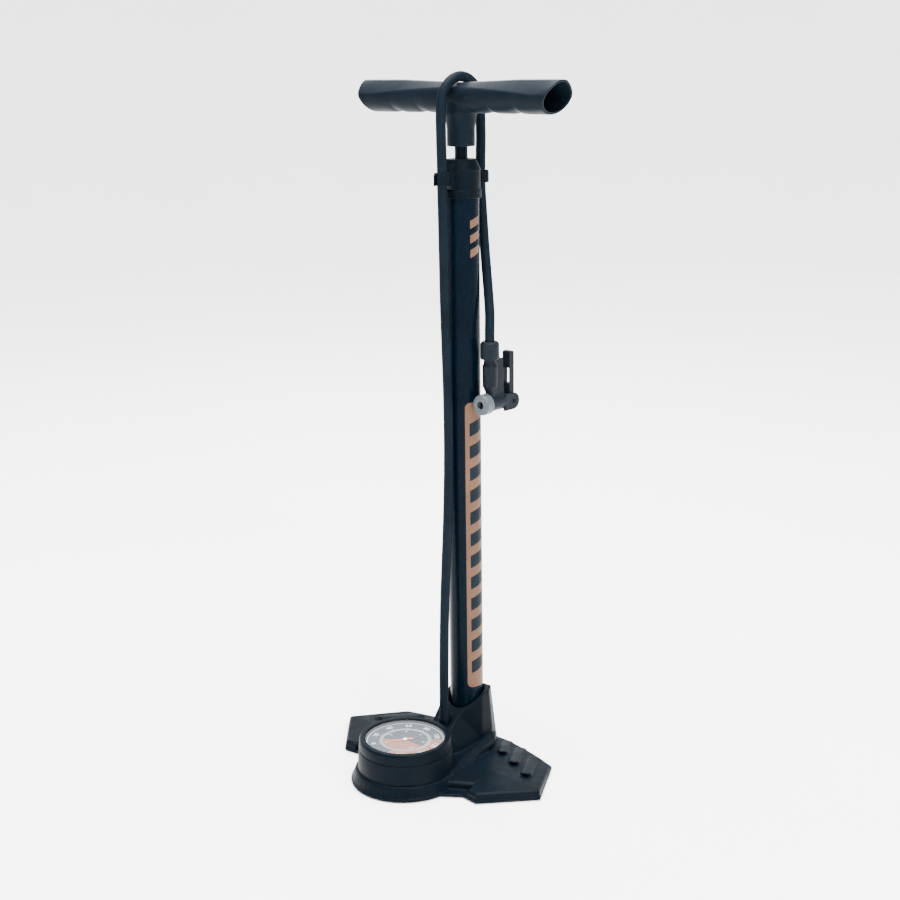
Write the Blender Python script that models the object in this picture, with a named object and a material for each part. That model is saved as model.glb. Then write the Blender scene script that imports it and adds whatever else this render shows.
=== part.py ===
"""A bicycle floor pump, one object for each piece.

Metres, +Z up. The barrel stands on the Z axis, the floor is Z = 0, the gauge is towards -Y and the
handle lies along X. Every piece is one closed solid, and pieces that touch keep a gap of FIT.
"""
import math

import bmesh
import bpy
from mathutils import Matrix, Vector

FIT = 0.0003                 # gap between two pieces that touch

# Base
BASE_UNDERSIDE = 0.001       # the casting's lowest face, held off the floor by the pads
LIP_TOP = 0.0036
DECK_TOP = 0.0116            # foot plate, front part
DECK_FOLD_Y = -0.045         # behind this line the foot plate falls away
DECK_FALL = 0.08             # metres down per metre back
DECK_CHAMFER = 0.0028
BACK_EDGE = [(0.0, 0.035), (0.031, 0.035), (0.064, 0.0286), (0.082, 0.024)]
PLATE_CORNERS = [(0.1047, 0.016), (0.1382, -0.0454), (0.0939, -0.0946)]
NOTCH = [(0.079, -0.0930), (0.076, -0.0800), (0.0500, -0.0950)]
LIP_NOTCH = [(0.0753, -0.0925), (0.0566, -0.1060)]
TREAD_DIRECTION = Vector((-0.48, 0.877, 0.0))
TREADS = [((0.0507, -0.001), 0.032), ((0.0767, -0.013), 0.041), ((0.1044, -0.027), 0.047)]
TREAD_WIDTH = 0.0115
TREAD_HEIGHT = 0.0030
TOWER_FOOT = [(0.0205, 0.026), (0.0265, 0.0125), (0.0265, -0.0058), (0.0230, -0.047)]
TOWER_HEAD = [(0.0150, 0.0215), (0.0223, 0.0100), (0.0223, -0.0008), (0.0020, -0.038)]
TOWER_FOOT_Z = 0.008
TOWER_HEAD_Z = 0.075
TOWER_RIM_Z = 0.069
TOWER_SLOPE = 0.727          # fall of the tower's top towards the gauge
RIDGE_BACK = Vector((0.0300, -0.002, 0.0225))
RIDGE_FRONT = Vector((0.0500, -0.0940, 0.0145))
RIDGE_WIDTH = 0.005
SPINE_DROP = 0.0045          # the floor between the ridges lies this far below them
INSIDE_LIP_Z = 0.0030        # shapes that stand on the lip start inside it
PAD_RADIUS = 0.0075
PAD_HEIGHT = 0.0035
PAD_PLACES = {
    "rear_left": (-0.062, 0.019), "rear_right": (0.062, 0.019),
    "side_left": (-0.113, -0.052), "side_right": (0.113, -0.052), "front": (0.0, -0.140),
}
CENTRE_PAD_RADIUS = 0.012

# Gauge, about a vertical axis in front of the barrel
GAUGE_Y = -0.097
SKIRT_FOOT_R = 0.0572
SKIRT_TOP_R = 0.0515
SKIRT_TOP_Z = 0.0152
HOUSING_FOOT_R = 0.0500
HOUSING_TOP_R = 0.0486
HOUSING_BORE_R = 0.0462
HOUSING_TOP_Z = 0.0360
HOUSING_FLOOR = 0.0030
RIM_Z = 0.0478
RIM_R = 0.0476
WINDOW_R = 0.0411
LENS_SEAT_R = 0.0431
LENS_TOP_Z = 0.0462
LENS_THICKNESS = 0.0012
DIAL_TOP_Z = 0.0429
DIAL_THICKNESS = 0.0009
NEEDLE_Z = 0.0434
NEEDLE_THICKNESS = 0.0006
NEEDLE_LENGTH = 0.0195
NEEDLE_TAIL = 0.0080
NEEDLE_REST = math.radians(236.0)   # from +X, seen from above: zero on the dial
SHAFT_R = 0.0010
PINION_TEETH = 8
SECTOR_TEETH = 80            # on the full circle, of which it has only a part
SECTOR_REST_TOOTH = 3        # the tooth in mesh at rest, counted from the sector's middle
SECTOR_END_TOOTH = 5
GEAR_MODULE = 0.0005
TOOTH_ROOT = 0.00040         # half widths, and heights from the pitch circle
TOOTH_TIP = 0.00015
TOOTH_RISE = 0.00040
TOOTH_DEPTH = 0.00055
PINION_R = GEAR_MODULE * PINION_TEETH / 2
SECTOR_R = GEAR_MODULE * SECTOR_TEETH / 2
SECTOR_PIVOT = (0.0, GAUGE_Y - PINION_R - SECTOR_R)
PLATE_Z = 0.0340
PLATE_THICKNESS = 0.0015
PLATE_R = 0.030
BOURDON_R = 0.0375
BOURDON_TUBE_R = 0.0024
BOURDON_Z = 0.0270
INLET_Y = GAUGE_Y + 0.0375
DUCT_Z = 0.0135
DUCT_R = 0.0020

# Barrel and what is inside it
BARREL_R = 0.0175
BARREL_BORE_R = 0.0160
BARREL_FOOT_Z = 0.0223
BARREL_TOP_Z = 0.6205
PLUG_TOP_Z = 0.0460
O_RING_Z = 0.0360
O_RING_SECTION_R = 0.0010
CHAMBER_R = 0.0075
CHAMBER_FLOOR_Z = 0.0100
VALVE_DISC_R = 0.0064
VALVE_DISC_THICKNESS = 0.0020
VALVE_WIRE_R = 0.0004
VALVE_COIL_R = 0.0046
VALVE_TURNS = 4
ROD_R = 0.0064
ROD_BORE_R = 0.0054          # the rod is a tube, solid at its foot where the nut screws on
ROD_STUB_Z = 0.0980
ROD_CHAMFER = 0.0006
ROD_FOOT_Z = 0.0480
ROD_TOP_Z = 0.6880
NUT_Z = (0.0485, 0.0535)
CUP_Z = (0.0538, 0.0630)
PISTON_Z = (0.0633, 0.0800)
BUMPER_Z = (0.0803, 0.0925)

# Cap at the barrel's top, with a hose clip in front and one behind
CAP_FOOT_Z = 0.5929
CAP_TOP_Z = 0.6306
CAP_R = 0.0195
CAP_RING_R = 0.0199
CAP_CHAMFER_Z = 0.6199
CAP_TOP_R = 0.0150
RIB_HALF = 0.0048            # the rib that runs from each clip up to the cap
RIB_TOP = (0.0168, 0.6262)   # radius and height of its upper end
CLIP_Z = (0.6058, 0.6185)
CLIP_R = 0.0084
CLIP_MOUTH = 0.0040
CLIP_SLOPE = ((0.0010, 0.6195), (0.0100, 0.6130))   # top of the outer end, as (outwards, z)
CLIP_UNDERCUT = ((0.0050, 0.6050), (0.0100, 0.6095))
WEB_HALF = 0.0062
FRONT_CLIP_Y = -0.0284
REAR_CLIP_Y = 0.0290
BUSH_Z = (0.5840, 0.6200)

# Handle
STEM_FOOT_Z = 0.6427
STEM_R = 0.0139
BAR_MID_Z = 0.6900
BAR_HALF_LENGTH = 0.1200
BAR_END_LEAN = 0.45          # the end faces lean out towards the top
BAR_HOLLOW = 0.040
BAR_CREASE = 1.04            # over 1 pinches the section into a crease at mid height
BAR_WALL = 0.0022
NOTCH_PLACES = (0.044, 0.079)
INSERT_Z = (0.6450, 0.6720)
INSERT_R = 0.0092

# Hose and pump head
HOSE_R = 0.0050
GLAND_R = 0.0064
GLAND_Z = (0.0223, 0.0475)
GLAND_SEAT_Z = 0.0400
GLAND_Y = -0.0366
HEAD_X = 0.0310
NECK_Y = 0.0054
NECK_TOP_Z = 0.4422
WEB_BACK = [(0.0225, 0.3900), (0.0215, 0.4000), (0.0205, 0.4325)]   # behind the neck, as (y, z)
HEAD_WEB_HALF = 0.0046
HOSE_NUT_Z = (0.4330, 0.4510)
HOSE_NUT_R = 0.0097
NOZZLE_Z = 0.3875
NOZZLE_R = 0.0088
NOZZLE_BORE_R = 0.0054
NOZZLE_FRONT_Y = 0.0003
NOZZLE_BACK_Y = 0.0240
SPIGOT_FRONT_Y = -0.0040
SPIGOT_R = 0.0080
TIP_FRONT_Y = -0.0105
TIP_R = 0.0106
TIP_HOLE_R = 0.0042
GASKET_HOLE_R = 0.0036
PLUNGER_FRONT_Y = -0.0004
PLUNGER_BACK_Y = 0.0260
PLUNGER_R = 0.0051
PIVOT_Y = 0.0335
PIVOT_Z = 0.3860
EAR_X = (0.0054, 0.0084)     # the clevis ears' inner and outer faces, from the head's middle
EAR_R = 0.0086
EAR_REACH = 0.0135           # from the pivot back to where the ears join the nozzle
CAM_R = 0.0068
CAM_LOBE_R = 0.0066
CAM_LOBE_DROP = 0.0030
LEVER_Y = (0.0305, 0.0375)
LEVER_TOP_Z = 0.4375
LEVER_HALF_WIDTH = 0.0048
LEVER_SLOT_HALF = 0.0038
LEVER_SLOT_Z = (0.4040, 0.4200)
PIN_R = 0.0019

CLIP_MIDDLE_Z = (CLIP_Z[0] + CLIP_Z[1]) / 2
LOOP_R = 0.0287              # the hose's half circle over the handle
LOOP_CENTRE_Z = 0.6806
HOSE_LOWER_ROUTE = [
    (0.0, GLAND_Y, GLAND_SEAT_Z + FIT), (0.0, -0.0364, 0.060), (0.0, -0.0358, 0.105),
    (0.0, -0.0332, 0.175), (0.0, -0.0300, 0.222), (0.0, -0.0270, 0.265), (0.0, -0.0243, 0.328),
    (0.0, -0.0241, 0.391), (0.0, -0.0255, 0.443), (0.0, -0.0270, 0.494), (0.0, -0.0275, 0.543),
    (0.0, -0.0281, 0.585), (0.0, FRONT_CLIP_Y, 0.604), (0.0, FRONT_CLIP_Y, CLIP_MIDDLE_Z),
]
HOSE_DROP_ROUTE = [
    (0.0, REAR_CLIP_Y, CLIP_MIDDLE_Z), (0.0, REAR_CLIP_Y, 0.603), (0.0026, 0.0282, 0.576),
    (0.0092, 0.0243, 0.538), (0.0185, 0.0180, 0.500), (0.0270, 0.0103, 0.476),
    (HEAD_X - 0.0001, NECK_Y, 0.460), (HEAD_X, NECK_Y, NECK_TOP_Z + FIT),
]
LOWER_SPACING = 0.025        # between a hose tube's points
LOOP_SPACING = 0.0095
DROP_SPACING = 0.016

ROUND = 32                   # sides of a large turned piece
SMALL_ROUND = 20             # sides of a small turned piece
WIDE_ROUND = 40              # sides of the gauge's round pieces


# Materials

def material(name, colour, roughness, metallic=0.0):
    made = bpy.data.materials.get(name)
    if made is None:
        made = bpy.data.materials.new(name)
        made.use_nodes = True
        shader = made.node_tree.nodes["Principled BSDF"]
        shader.inputs["Base Color"].default_value = (*colour, 1.0)
        shader.inputs["Roughness"].default_value = roughness
        shader.inputs["Metallic"].default_value = metallic
    return made


def black_plastic():
    return material("black_plastic", (0.018, 0.021, 0.027), 0.36)


def black_paint():
    return material("black_paint", (0.010, 0.011, 0.015), 0.28)


def hose_rubber():
    return material("hose_rubber", (0.020, 0.022, 0.028), 0.45)


def soft_rubber():
    return material("soft_rubber", (0.030, 0.030, 0.032), 0.70)


def grey_plastic():
    return material("grey_plastic", (0.23, 0.24, 0.26), 0.40)


def steel():
    return material("steel", (0.56, 0.57, 0.58), 0.25, 1.0)


def brass():
    return material("brass", (0.72, 0.52, 0.24), 0.30, 1.0)


def white_plastic():
    return material("white_plastic", (0.72, 0.72, 0.70), 0.45)


def dial_print():
    return material("dial_print", (0.30, 0.33, 0.35), 0.50)


def clear_plastic():
    return material("clear_plastic", (0.90, 0.92, 0.94), 0.05)


def orange_paint():
    return material("orange_paint", (0.62, 0.20, 0.06), 0.40)


# Shapes

def clear_scene():
    for existing in list(bpy.data.objects):
        bpy.data.objects.remove(existing, do_unlink=True)


def add_object(name, bm, surface=None, smooth=None):
    """Puts a bmesh in the scene. smooth is the angle in degrees above which an edge stays sharp."""
    bmesh.ops.recalc_face_normals(bm, faces=bm.faces)
    if bm.calc_volume(signed=True) < 0:
        bmesh.ops.reverse_faces(bm, faces=bm.faces)
    mesh = bpy.data.meshes.new(name)
    bm.to_mesh(mesh)
    bm.free()
    if smooth is not None:
        mesh.shade_smooth()
        mesh.set_sharp_from_angle(angle=math.radians(smooth))
    made = bpy.data.objects.new(name, mesh)
    bpy.context.scene.collection.objects.link(made)
    if surface is not None:
        mesh.materials.append(surface)
    return made


def turned(name, profile, surface=None, sides=ROUND, closed=False, place=None):
    """Spins (radius, height) points about Z. A closed profile makes a ring, an open one a solid
    whose two ends lie on the axis."""
    bm = bmesh.new()
    corners = [bm.verts.new((radius, 0.0, height)) for radius, height in profile]
    edges = [bm.edges.new(pair) for pair in zip(corners, corners[1:])]
    if closed:
        edges.append(bm.edges.new((corners[-1], corners[0])))
    bmesh.ops.spin(bm, geom=corners + edges, axis=(0, 0, 1), cent=(0, 0, 0),
                   angle=math.tau, steps=sides, use_duplicate=False)
    bmesh.ops.remove_doubles(bm, verts=bm.verts, dist=1e-6)
    if place is not None:
        bmesh.ops.transform(bm, matrix=place, verts=bm.verts)
    return add_object(name, bm, surface, smooth=35)


def ring_profile(inner, outer, low, high):
    return [(inner, low), (outer, low), (outer, high), (inner, high)]


def rod_profile(radius, low, high, chamfer=0.0):
    points = [(0.0, low), (radius - chamfer, low)]
    if chamfer:
        points += [(radius, low + chamfer), (radius, high - chamfer)]
    return points + [(radius - chamfer, high), (0.0, high)]


def along_y(x, z, y=0.0):
    """Turns a shape made along +Z so that it runs along +Y, through (x, y, z)."""
    return Matrix.Translation((x, y, z)) @ Matrix.Rotation(math.radians(-90), 4, "X")


def along_x(x, y, z):
    return Matrix.Translation((x, y, z)) @ Matrix.Rotation(math.radians(90), 4, "Y")


def lofted(name, rings, surface=None, smooth=None):
    """Skins rings of equal length, each a list of 3-D points, and closes both ends."""
    bm = bmesh.new()
    loops = [[bm.verts.new(point) for point in ring] for ring in rings]
    for low, high in zip(loops, loops[1:]):
        for index in range(len(low)):
            following = (index + 1) % len(low)
            bm.faces.new((low[index], low[following], high[following], high[index]))
    bm.faces.new(loops[0])
    bm.faces.new(loops[-1])
    return add_object(name, bm, surface, smooth)


def prism(name, outline, low, high, surface=None, smooth=None):
    rings = [[(x, y, height) for x, y in outline] for height in (low, high)]
    return lofted(name, rings, surface, smooth)


def block(name, low, high, surface=None):
    outline = [(low[0], low[1]), (high[0], low[1]), (high[0], high[1]), (low[0], high[1])]
    return prism(name, outline, low[2], high[2], surface)


def arc(centre, radius, start, end, steps):
    """Points in degrees from start to end, both included."""
    angles = [math.radians(start + (end - start) * step / steps) for step in range(steps + 1)]
    return [(centre[0] + radius * math.cos(a), centre[1] + radius * math.sin(a)) for a in angles]


def combine(target, operation, *others):
    """Unites the others with target, or cuts them from it, and removes them."""
    for other in others:
        modifier = target.modifiers.new(operation.lower(), "BOOLEAN")
        modifier.operation = operation
        modifier.solver = "EXACT"
        modifier.object = other
        graph = bpy.context.evaluated_depsgraph_get()
        graph.update()
        mesh = bpy.data.meshes.new_from_object(target.evaluated_get(graph))
        target.modifiers.clear()
        target.data = mesh
        bpy.data.objects.remove(other, do_unlink=True)
    return target


def join_to(target, *others):
    return combine(target, "UNION", *others)


def cut_from(target, *others):
    return combine(target, "DIFFERENCE", *others)


def tidy_mesh(target, smooth=30):
    """Drops the slivers that a Boolean leaves, then sets the shading."""
    bm = bmesh.new()
    bm.from_mesh(target.data)
    bmesh.ops.remove_doubles(bm, verts=bm.verts, dist=2e-6)
    bmesh.ops.dissolve_degenerate(bm, edges=bm.edges, dist=2e-6)
    bmesh.ops.dissolve_limit(bm, angle_limit=math.radians(0.3), verts=bm.verts, edges=bm.edges)
    bmesh.ops.triangulate(bm, faces=bm.faces)
    bm.to_mesh(target.data)
    bm.free()
    target.data.shade_smooth()
    target.data.set_sharp_from_angle(angle=math.radians(smooth))
    return target


def set_origin(target, point):
    """Moves the object's origin to point and leaves its shape where it is."""
    target.data.transform(Matrix.Translation(-Vector(point)))
    target.location = point


def both_sides(half):
    """A closed outline from the +X half, whose first point lies on X = 0."""
    mirrored = [(-x, y) for x, y in reversed(half) if x > 1e-9]
    return half + mirrored


# Base

def deck_height(y):
    return DECK_TOP - max(0.0, y - DECK_FOLD_Y) * DECK_FALL


def skirt_arc(radius, from_point, steps=10):
    """The skirt's outline from the plate round to the front, X = 0."""
    start = math.degrees(math.atan2(from_point[1] - GAUGE_Y, from_point[0]))
    return arc((0.0, GAUGE_Y), radius, start, -90.0, steps)


def base_lip():
    half = BACK_EDGE + PLATE_CORNERS + LIP_NOTCH[:1] + skirt_arc(SKIRT_FOOT_R, LIP_NOTCH[1])
    half[-1] = (0.0, half[-1][1])
    return prism("lip", both_sides(half), BASE_UNDERSIDE, LIP_TOP)


def inset(outline, distance):
    """Moves each side of a clockwise outline inward."""
    moved = []
    for index, point in enumerate(outline):
        before = Vector(outline[index - 1])
        here = Vector(point)
        after = Vector(outline[(index + 1) % len(outline)])
        into = (here - before).normalized()
        out_of = (after - here).normalized()
        normals = [Vector((step.y, -step.x)) for step in (into, out_of)]
        bisector = normals[0] + normals[1]
        moved.append(tuple(here + bisector * (distance / (0.5 * bisector.length_squared))))
    return moved


def foot_plate(side):
    """One wing above the lip: sheer sides, a chamfer, and a top of two planes that meet at the fold."""
    fold = (PLATE_CORNERS[1][0] - 0.0002, DECK_FOLD_Y)
    inner_fold = (0.0, DECK_FOLD_Y)
    outline = BACK_EDGE + [PLATE_CORNERS[0], fold] + PLATE_CORNERS[2:] + NOTCH + [(0.0, -0.095), inner_fold]
    body = inset(outline, 0.0010)
    crown = inset(outline, 0.0010 + DECK_CHAMFER)
    for ring in (body, crown):
        for index in (0, -1, -2):
            ring[index] = (-0.002, ring[index][1])
    rings = [
        [(x, y, 0.002) for x, y in body],
        [(x, y, max(deck_height(y) - DECK_CHAMFER * 0.8, LIP_TOP + 0.0004)) for x, y in body],
        [(x, y, deck_height(y)) for x, y in crown],
    ]
    bm = bmesh.new()
    loops = [[bm.verts.new((side * x, y, z)) for x, y, z in ring] for ring in rings]
    count = len(body)
    for low, high in zip(loops, loops[1:]):
        for index in range(count):
            following = (index + 1) % count
            bm.faces.new((low[index], low[following], high[following], high[index]))
    bm.faces.new(loops[0])
    fold_index = len(BACK_EDGE) + 1
    top = loops[-1]
    bm.faces.new(top[:fold_index + 1] + top[-1:])
    bm.faces.new(top[fold_index:])
    return add_object("foot_plate", bm)


def tread(front, length, side):
    """A raised bar with a rounded end, tallest at its front."""
    start = Vector((front[0], front[1], 0.0))
    across = Vector((TREAD_DIRECTION.y, -TREAD_DIRECTION.x, 0.0)) * (TREAD_WIDTH / 2)
    end = start + TREAD_DIRECTION * length
    rings = []
    for sink, inward in ((0.004, 0.0), (0.0, 0.0), (-1.0, 0.0016)):
        ring = []
        for middle, rise, sign in ((start, TREAD_HEIGHT, -1.0), (end, TREAD_HEIGHT * 0.4, 1.0)):
            for angle in (90, 60, 30, 0, -30, -60, -90):
                turn = math.radians(angle) * sign
                scale = 1.0 - inward / (TREAD_WIDTH / 2)
                offset = across * math.sin(-turn * sign) * -sign * scale
                cap = TREAD_DIRECTION * math.cos(turn) * sign * (TREAD_WIDTH / 2) * scale * 0.55
                point = middle + offset + cap
                lift = rise if sink < 0 else rise * 0.45 - sink
                ring.append((side * point.x, point.y, deck_height(point.y) + lift))
        rings.append(ring)
    return lofted("tread", rings)


def tower():
    """The socket for the barrel, with a nose that runs forward to the hose."""
    rings = []
    for outline, height in ((TOWER_FOOT, TOWER_FOOT_Z), (TOWER_HEAD, TOWER_HEAD_Z)):
        half = [(0.0, outline[0][1])] + outline + [(0.0, outline[-1][1] - 0.002)]
        rings.append([(x, y, height) for x, y in both_sides(half)])
    foot = [(x, y, INSIDE_LIP_Z) for x, y, z in rings[0]]
    body = lofted("tower", [foot] + rings)
    far = 0.060
    top = TOWER_RIM_Z
    wedge = [(0.002, top), (-far, top - TOWER_SLOPE * far), (-far, 0.09), (far, 0.09), (far, top)]
    cutter = lofted("wedge", [[(x, y, z) for y, z in wedge] for x in (-0.05, 0.05)])
    return cut_from(body, cutter)


def spine():
    """The raised floor between tower and gauge, with a ridge along each side."""
    front = RIDGE_FRONT.y
    half = [(0.0, 0.0200), (0.0270, 0.0160), (RIDGE_BACK.x, RIDGE_BACK.y),
            (RIDGE_FRONT.x - 0.0005, front), (0.0, front)]
    outline = both_sides(half)
    rings = [[(x, y, INSIDE_LIP_Z) for x, y in outline]]
    rings.append([(x, y, ridge_height(y) - SPINE_DROP) for x, y in outline])
    return lofted("spine", rings)


def ridge_height(y):
    share = (RIDGE_BACK.y - y) / (RIDGE_BACK.y - RIDGE_FRONT.y)
    return RIDGE_BACK.z + (RIDGE_FRONT.z - RIDGE_BACK.z) * share


def ridge(side):
    """A bead along the side of the spine: steep inside, sloping outside."""
    section = [(-0.0030, -0.010), (-0.0026, -0.0010), (-0.0012, 0.0), (0.0006, 0.0),
               (RIDGE_WIDTH, -0.0062), (RIDGE_WIDTH + 0.001, -0.012)]
    rings = []
    for end in (RIDGE_BACK + Vector((-0.003, 0.012, 0.001)), RIDGE_FRONT + Vector((0.0002, -0.001, 0.0))):
        rings.append([(side * (end.x + x), end.y, end.z + z) for x, z in section])
    return lofted("ridge", rings)


def skirt():
    profile = [(0.0, 0.0028), (SKIRT_FOOT_R - 0.0012, 0.0028), (SKIRT_FOOT_R - 0.0012, LIP_TOP + 0.0006),
               (SKIRT_TOP_R + 0.0012, SKIRT_TOP_Z - 0.002), (SKIRT_TOP_R, SKIRT_TOP_Z), (0.0, SKIRT_TOP_Z)]
    return turned("skirt", profile, sides=48, place=Matrix.Translation((0.0, GAUGE_Y, 0.0)))


def drill(radius, low, high, x=0.0, y=0.0, sides=SMALL_ROUND):
    return turned("drill", rod_profile(radius, low, high), sides=sides, place=Matrix.Translation((x, y, 0.0)))


def base_casting():
    casting = base_lip()
    join_to(casting, foot_plate(1), foot_plate(-1), skirt(), spine(), ridge(1), ridge(-1), tower())
    for side in (1, -1):
        for front, length in TREADS:
            join_to(casting, tread(front, length, side))
    duct_end = INLET_Y - DUCT_R
    duct = turned("duct", rod_profile(DUCT_R, 0.0, -duct_end), sides=12, place=along_y(0.0, DUCT_Z, duct_end))
    cut_from(
        casting,
        drill(BARREL_R + FIT, BARREL_FOOT_Z - FIT, 0.1, sides=ROUND),
        drill(BARREL_R + 0.0019, 0.050, 0.1, sides=ROUND),
        drill(CHAMBER_R, CHAMBER_FLOOR_Z, BARREL_FOOT_Z),
        drill(GLAND_R + FIT, GLAND_Z[0] - FIT, 0.07, y=GLAND_Y),
        drill(HOUSING_FOOT_R + 2 * FIT, SKIRT_TOP_Z, 0.1, y=GAUGE_Y, sides=48),
        duct,
        drill(DUCT_R, DUCT_Z, GLAND_Z[0] + 0.001, y=GLAND_Y, sides=12),
        drill(BOURDON_TUBE_R + FIT, DUCT_Z, 0.03, y=INLET_Y, sides=12),
        drill(CENTRE_PAD_RADIUS + FIT, 0.0, PAD_HEIGHT + FIT),
    )
    for x, y in PAD_PLACES.values():
        cut_from(casting, drill(PAD_RADIUS + FIT, 0.0, PAD_HEIGHT + FIT, x, y, 16))
    casting.name = "base_casting"
    casting.data.materials.clear()
    casting.data.materials.append(black_plastic())
    return tidy_mesh(casting)


def pads():
    for name, (x, y) in PAD_PLACES.items():
        turned(f"foot_pad_{name}", rod_profile(PAD_RADIUS, 0.0, PAD_HEIGHT), soft_rubber(), 16,
               place=Matrix.Translation((x, y, 0.0)))
    turned("foot_pad_centre", rod_profile(CENTRE_PAD_RADIUS, 0.0, PAD_HEIGHT), soft_rubber(), SMALL_ROUND)


# Barrel, foot valve and piston

def barrel():
    profile = ring_profile(BARREL_BORE_R, BARREL_R, BARREL_FOOT_Z, BARREL_TOP_Z)
    turned("barrel", profile, black_paint(), ROUND, closed=True)


def foot_plug():
    low = BARREL_FOOT_Z + FIT
    outer = BARREL_BORE_R - FIT
    groove = outer - 2.2 * O_RING_SECTION_R
    half = 1.4 * O_RING_SECTION_R
    profile = [(0.0032, low), (outer, low), (outer, O_RING_Z - half), (groove, O_RING_Z - half),
               (groove, O_RING_Z + half), (outer, O_RING_Z + half), (outer, PLUG_TOP_Z),
               (0.0050, PLUG_TOP_Z), (0.0032, PLUG_TOP_Z - 0.002)]
    turned("foot_plug", profile, white_plastic(), SMALL_ROUND, closed=True)
    centre = groove + FIT + O_RING_SECTION_R * 0.8
    ring = [(x, O_RING_Z + y) for x, y in arc((centre, 0.0), O_RING_SECTION_R * 0.8, 0, 300, 5)]
    turned("foot_o_ring", ring, soft_rubber(), SMALL_ROUND, closed=True)


def foot_valve():
    high = BARREL_FOOT_Z
    profile = rod_profile(VALVE_DISC_R, high - VALVE_DISC_THICKNESS, high)
    disc = turned("valve_disc", profile, soft_rubber(), SMALL_ROUND)
    set_origin(disc, (0.0, 0.0, high))
    low = CHAMBER_FLOOR_Z + FIT + VALVE_WIRE_R
    top = high - VALVE_DISC_THICKNESS - FIT - VALVE_WIRE_R
    per_turn = 12
    points = []
    for step in range(VALVE_TURNS * per_turn + 1):
        angle = math.tau * step / per_turn
        height = low + (top - low) * step / (VALVE_TURNS * per_turn)
        points.append((VALVE_COIL_R * math.cos(angle), VALVE_COIL_R * math.sin(angle), height))
    tube("valve_spring", points, VALVE_WIRE_R, steel(), resolution=0)


def tube(name, points, radius, surface, resolution=2):
    """A capped round tube along the points."""
    data = bpy.data.curves.new(name, "CURVE")
    data.dimensions = "3D"
    data.bevel_depth = radius
    data.bevel_resolution = resolution
    data.use_fill_caps = True
    data.resolution_u = 1
    spline = data.splines.new("POLY")
    spline.points.add(len(points) - 1)
    for place, point in zip(spline.points, points):
        place.co = (*point, 1.0)
    data.materials.append(surface)
    made = bpy.data.objects.new(name, data)
    bpy.context.scene.collection.objects.link(made)
    return made


def piston_parts():
    bore = ROD_R + FIT
    rod_outline = rod_profile(ROD_R, ROD_FOOT_Z, ROD_TOP_Z, ROD_CHAMFER)[:-1]
    rod_outline += [(ROD_BORE_R, ROD_TOP_Z), (ROD_BORE_R, ROD_STUB_Z), (0.0, ROD_STUB_Z)]
    rod = turned("piston_rod", rod_outline, black_paint(), SMALL_ROUND)
    hexagon = [(bore, NUT_Z[0]), (0.0100, NUT_Z[0]), (0.0100, NUT_Z[1]), (bore, NUT_Z[1])]
    nut = turned("piston_nut", hexagon, steel(), 6, closed=True)
    nut_bore = turned("bore", rod_profile(bore, NUT_Z[0] - 0.001, NUT_Z[1] + 0.001), sides=24)
    cut_from(nut, nut_bore)
    tidy_mesh(nut)
    outer = BARREL_BORE_R - FIT
    low, high = CUP_Z
    cup = [(bore, low + 0.0055), (outer - 0.0026, low + 0.0055), (outer - 0.0012, low), (outer, low),
           (outer - 0.0004, high - 0.001), (outer - 0.0016, high), (bore, high)]
    turned("piston_cup", cup, soft_rubber(), SMALL_ROUND, closed=True)
    low, high = PISTON_Z
    middle = (low + high) / 2
    land = outer - 0.0010
    waist = outer - 0.0040
    body = [(bore, low), (land, low), (land, middle - 0.003), (waist, middle - 0.002),
            (waist, middle + 0.002), (land, middle + 0.003), (land, high), (bore, high)]
    turned("piston", body, white_plastic(), SMALL_ROUND, closed=True)
    low, high = BUMPER_Z
    bumper = [(bore, low), (0.0125, low), (0.0135, (low + high) / 2), (0.0125, high), (bore, high)]
    turned("rod_bumper", bumper, soft_rubber(), SMALL_ROUND, closed=True)
    set_origin(rod, (0.0, 0.0, ROD_FOOT_Z))


# Cap with hose clips

def hose_clip(y, facing):
    """A C-shaped clip open away from the barrel, and the web that carries it."""
    clip = turned("clip", ring_profile(HOSE_R + 0.00035, CLIP_R, *CLIP_Z), sides=24, closed=True,
                  place=Matrix.Translation((0.0, y, 0.0)))
    reach = y + facing * 0.02
    mouth = block("mouth", (-CLIP_MOUTH, min(y, reach) + (0.0016 if facing > 0 else 0.0), 0.6),
                  (CLIP_MOUTH, max(y, reach) - (0.0016 if facing < 0 else 0.0), 0.63))
    cut_from(clip, mouth)
    for (first, first_z), (last, last_z) in (CLIP_SLOPE, CLIP_UNDERCUT):
        outline = [(y + facing * first, first_z), (y + facing * last, first_z), (y + facing * last, last_z)]
        cut_from(clip, lofted("slope", [[(x, *point) for point in outline] for x in (-0.012, 0.012)]))
    near = facing * (BARREL_R + 0.0012)
    far = y - facing * (HOSE_R + 0.0012)
    low, high = CLIP_Z
    rings = []
    for half, y_end, foot, head in ((WEB_HALF, near, low - 0.004, high + 0.001),
                                    (WEB_HALF - 0.001, far, low + 0.0002, high - 0.0002)):
        rings.append([(-half, y_end, foot), (half, y_end, foot), (half, y_end, head), (-half, y_end, head)])
    web = lofted("web", rings)
    return clip, web, cap_rib(facing, abs(far) - 0.0004)


def cap_rib(facing, reach):
    """Stands on the web and slopes up from the clip to the cap's chamfer."""
    wall = BARREL_R + 0.0011
    radius, top = RIB_TOP
    outline = [(wall, CLIP_Z[0] + 0.006), (wall, BARREL_TOP_Z + 0.0007), (CAP_TOP_R, BARREL_TOP_Z + 0.0010),
               (CAP_TOP_R, top), (radius, top), (reach, CLIP_Z[1] + 0.0005), (reach, CLIP_Z[0] + 0.006)]
    return lofted("rib", [[(x, facing * y, z) for y, z in outline] for x in (-RIB_HALF, RIB_HALF)])


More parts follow.
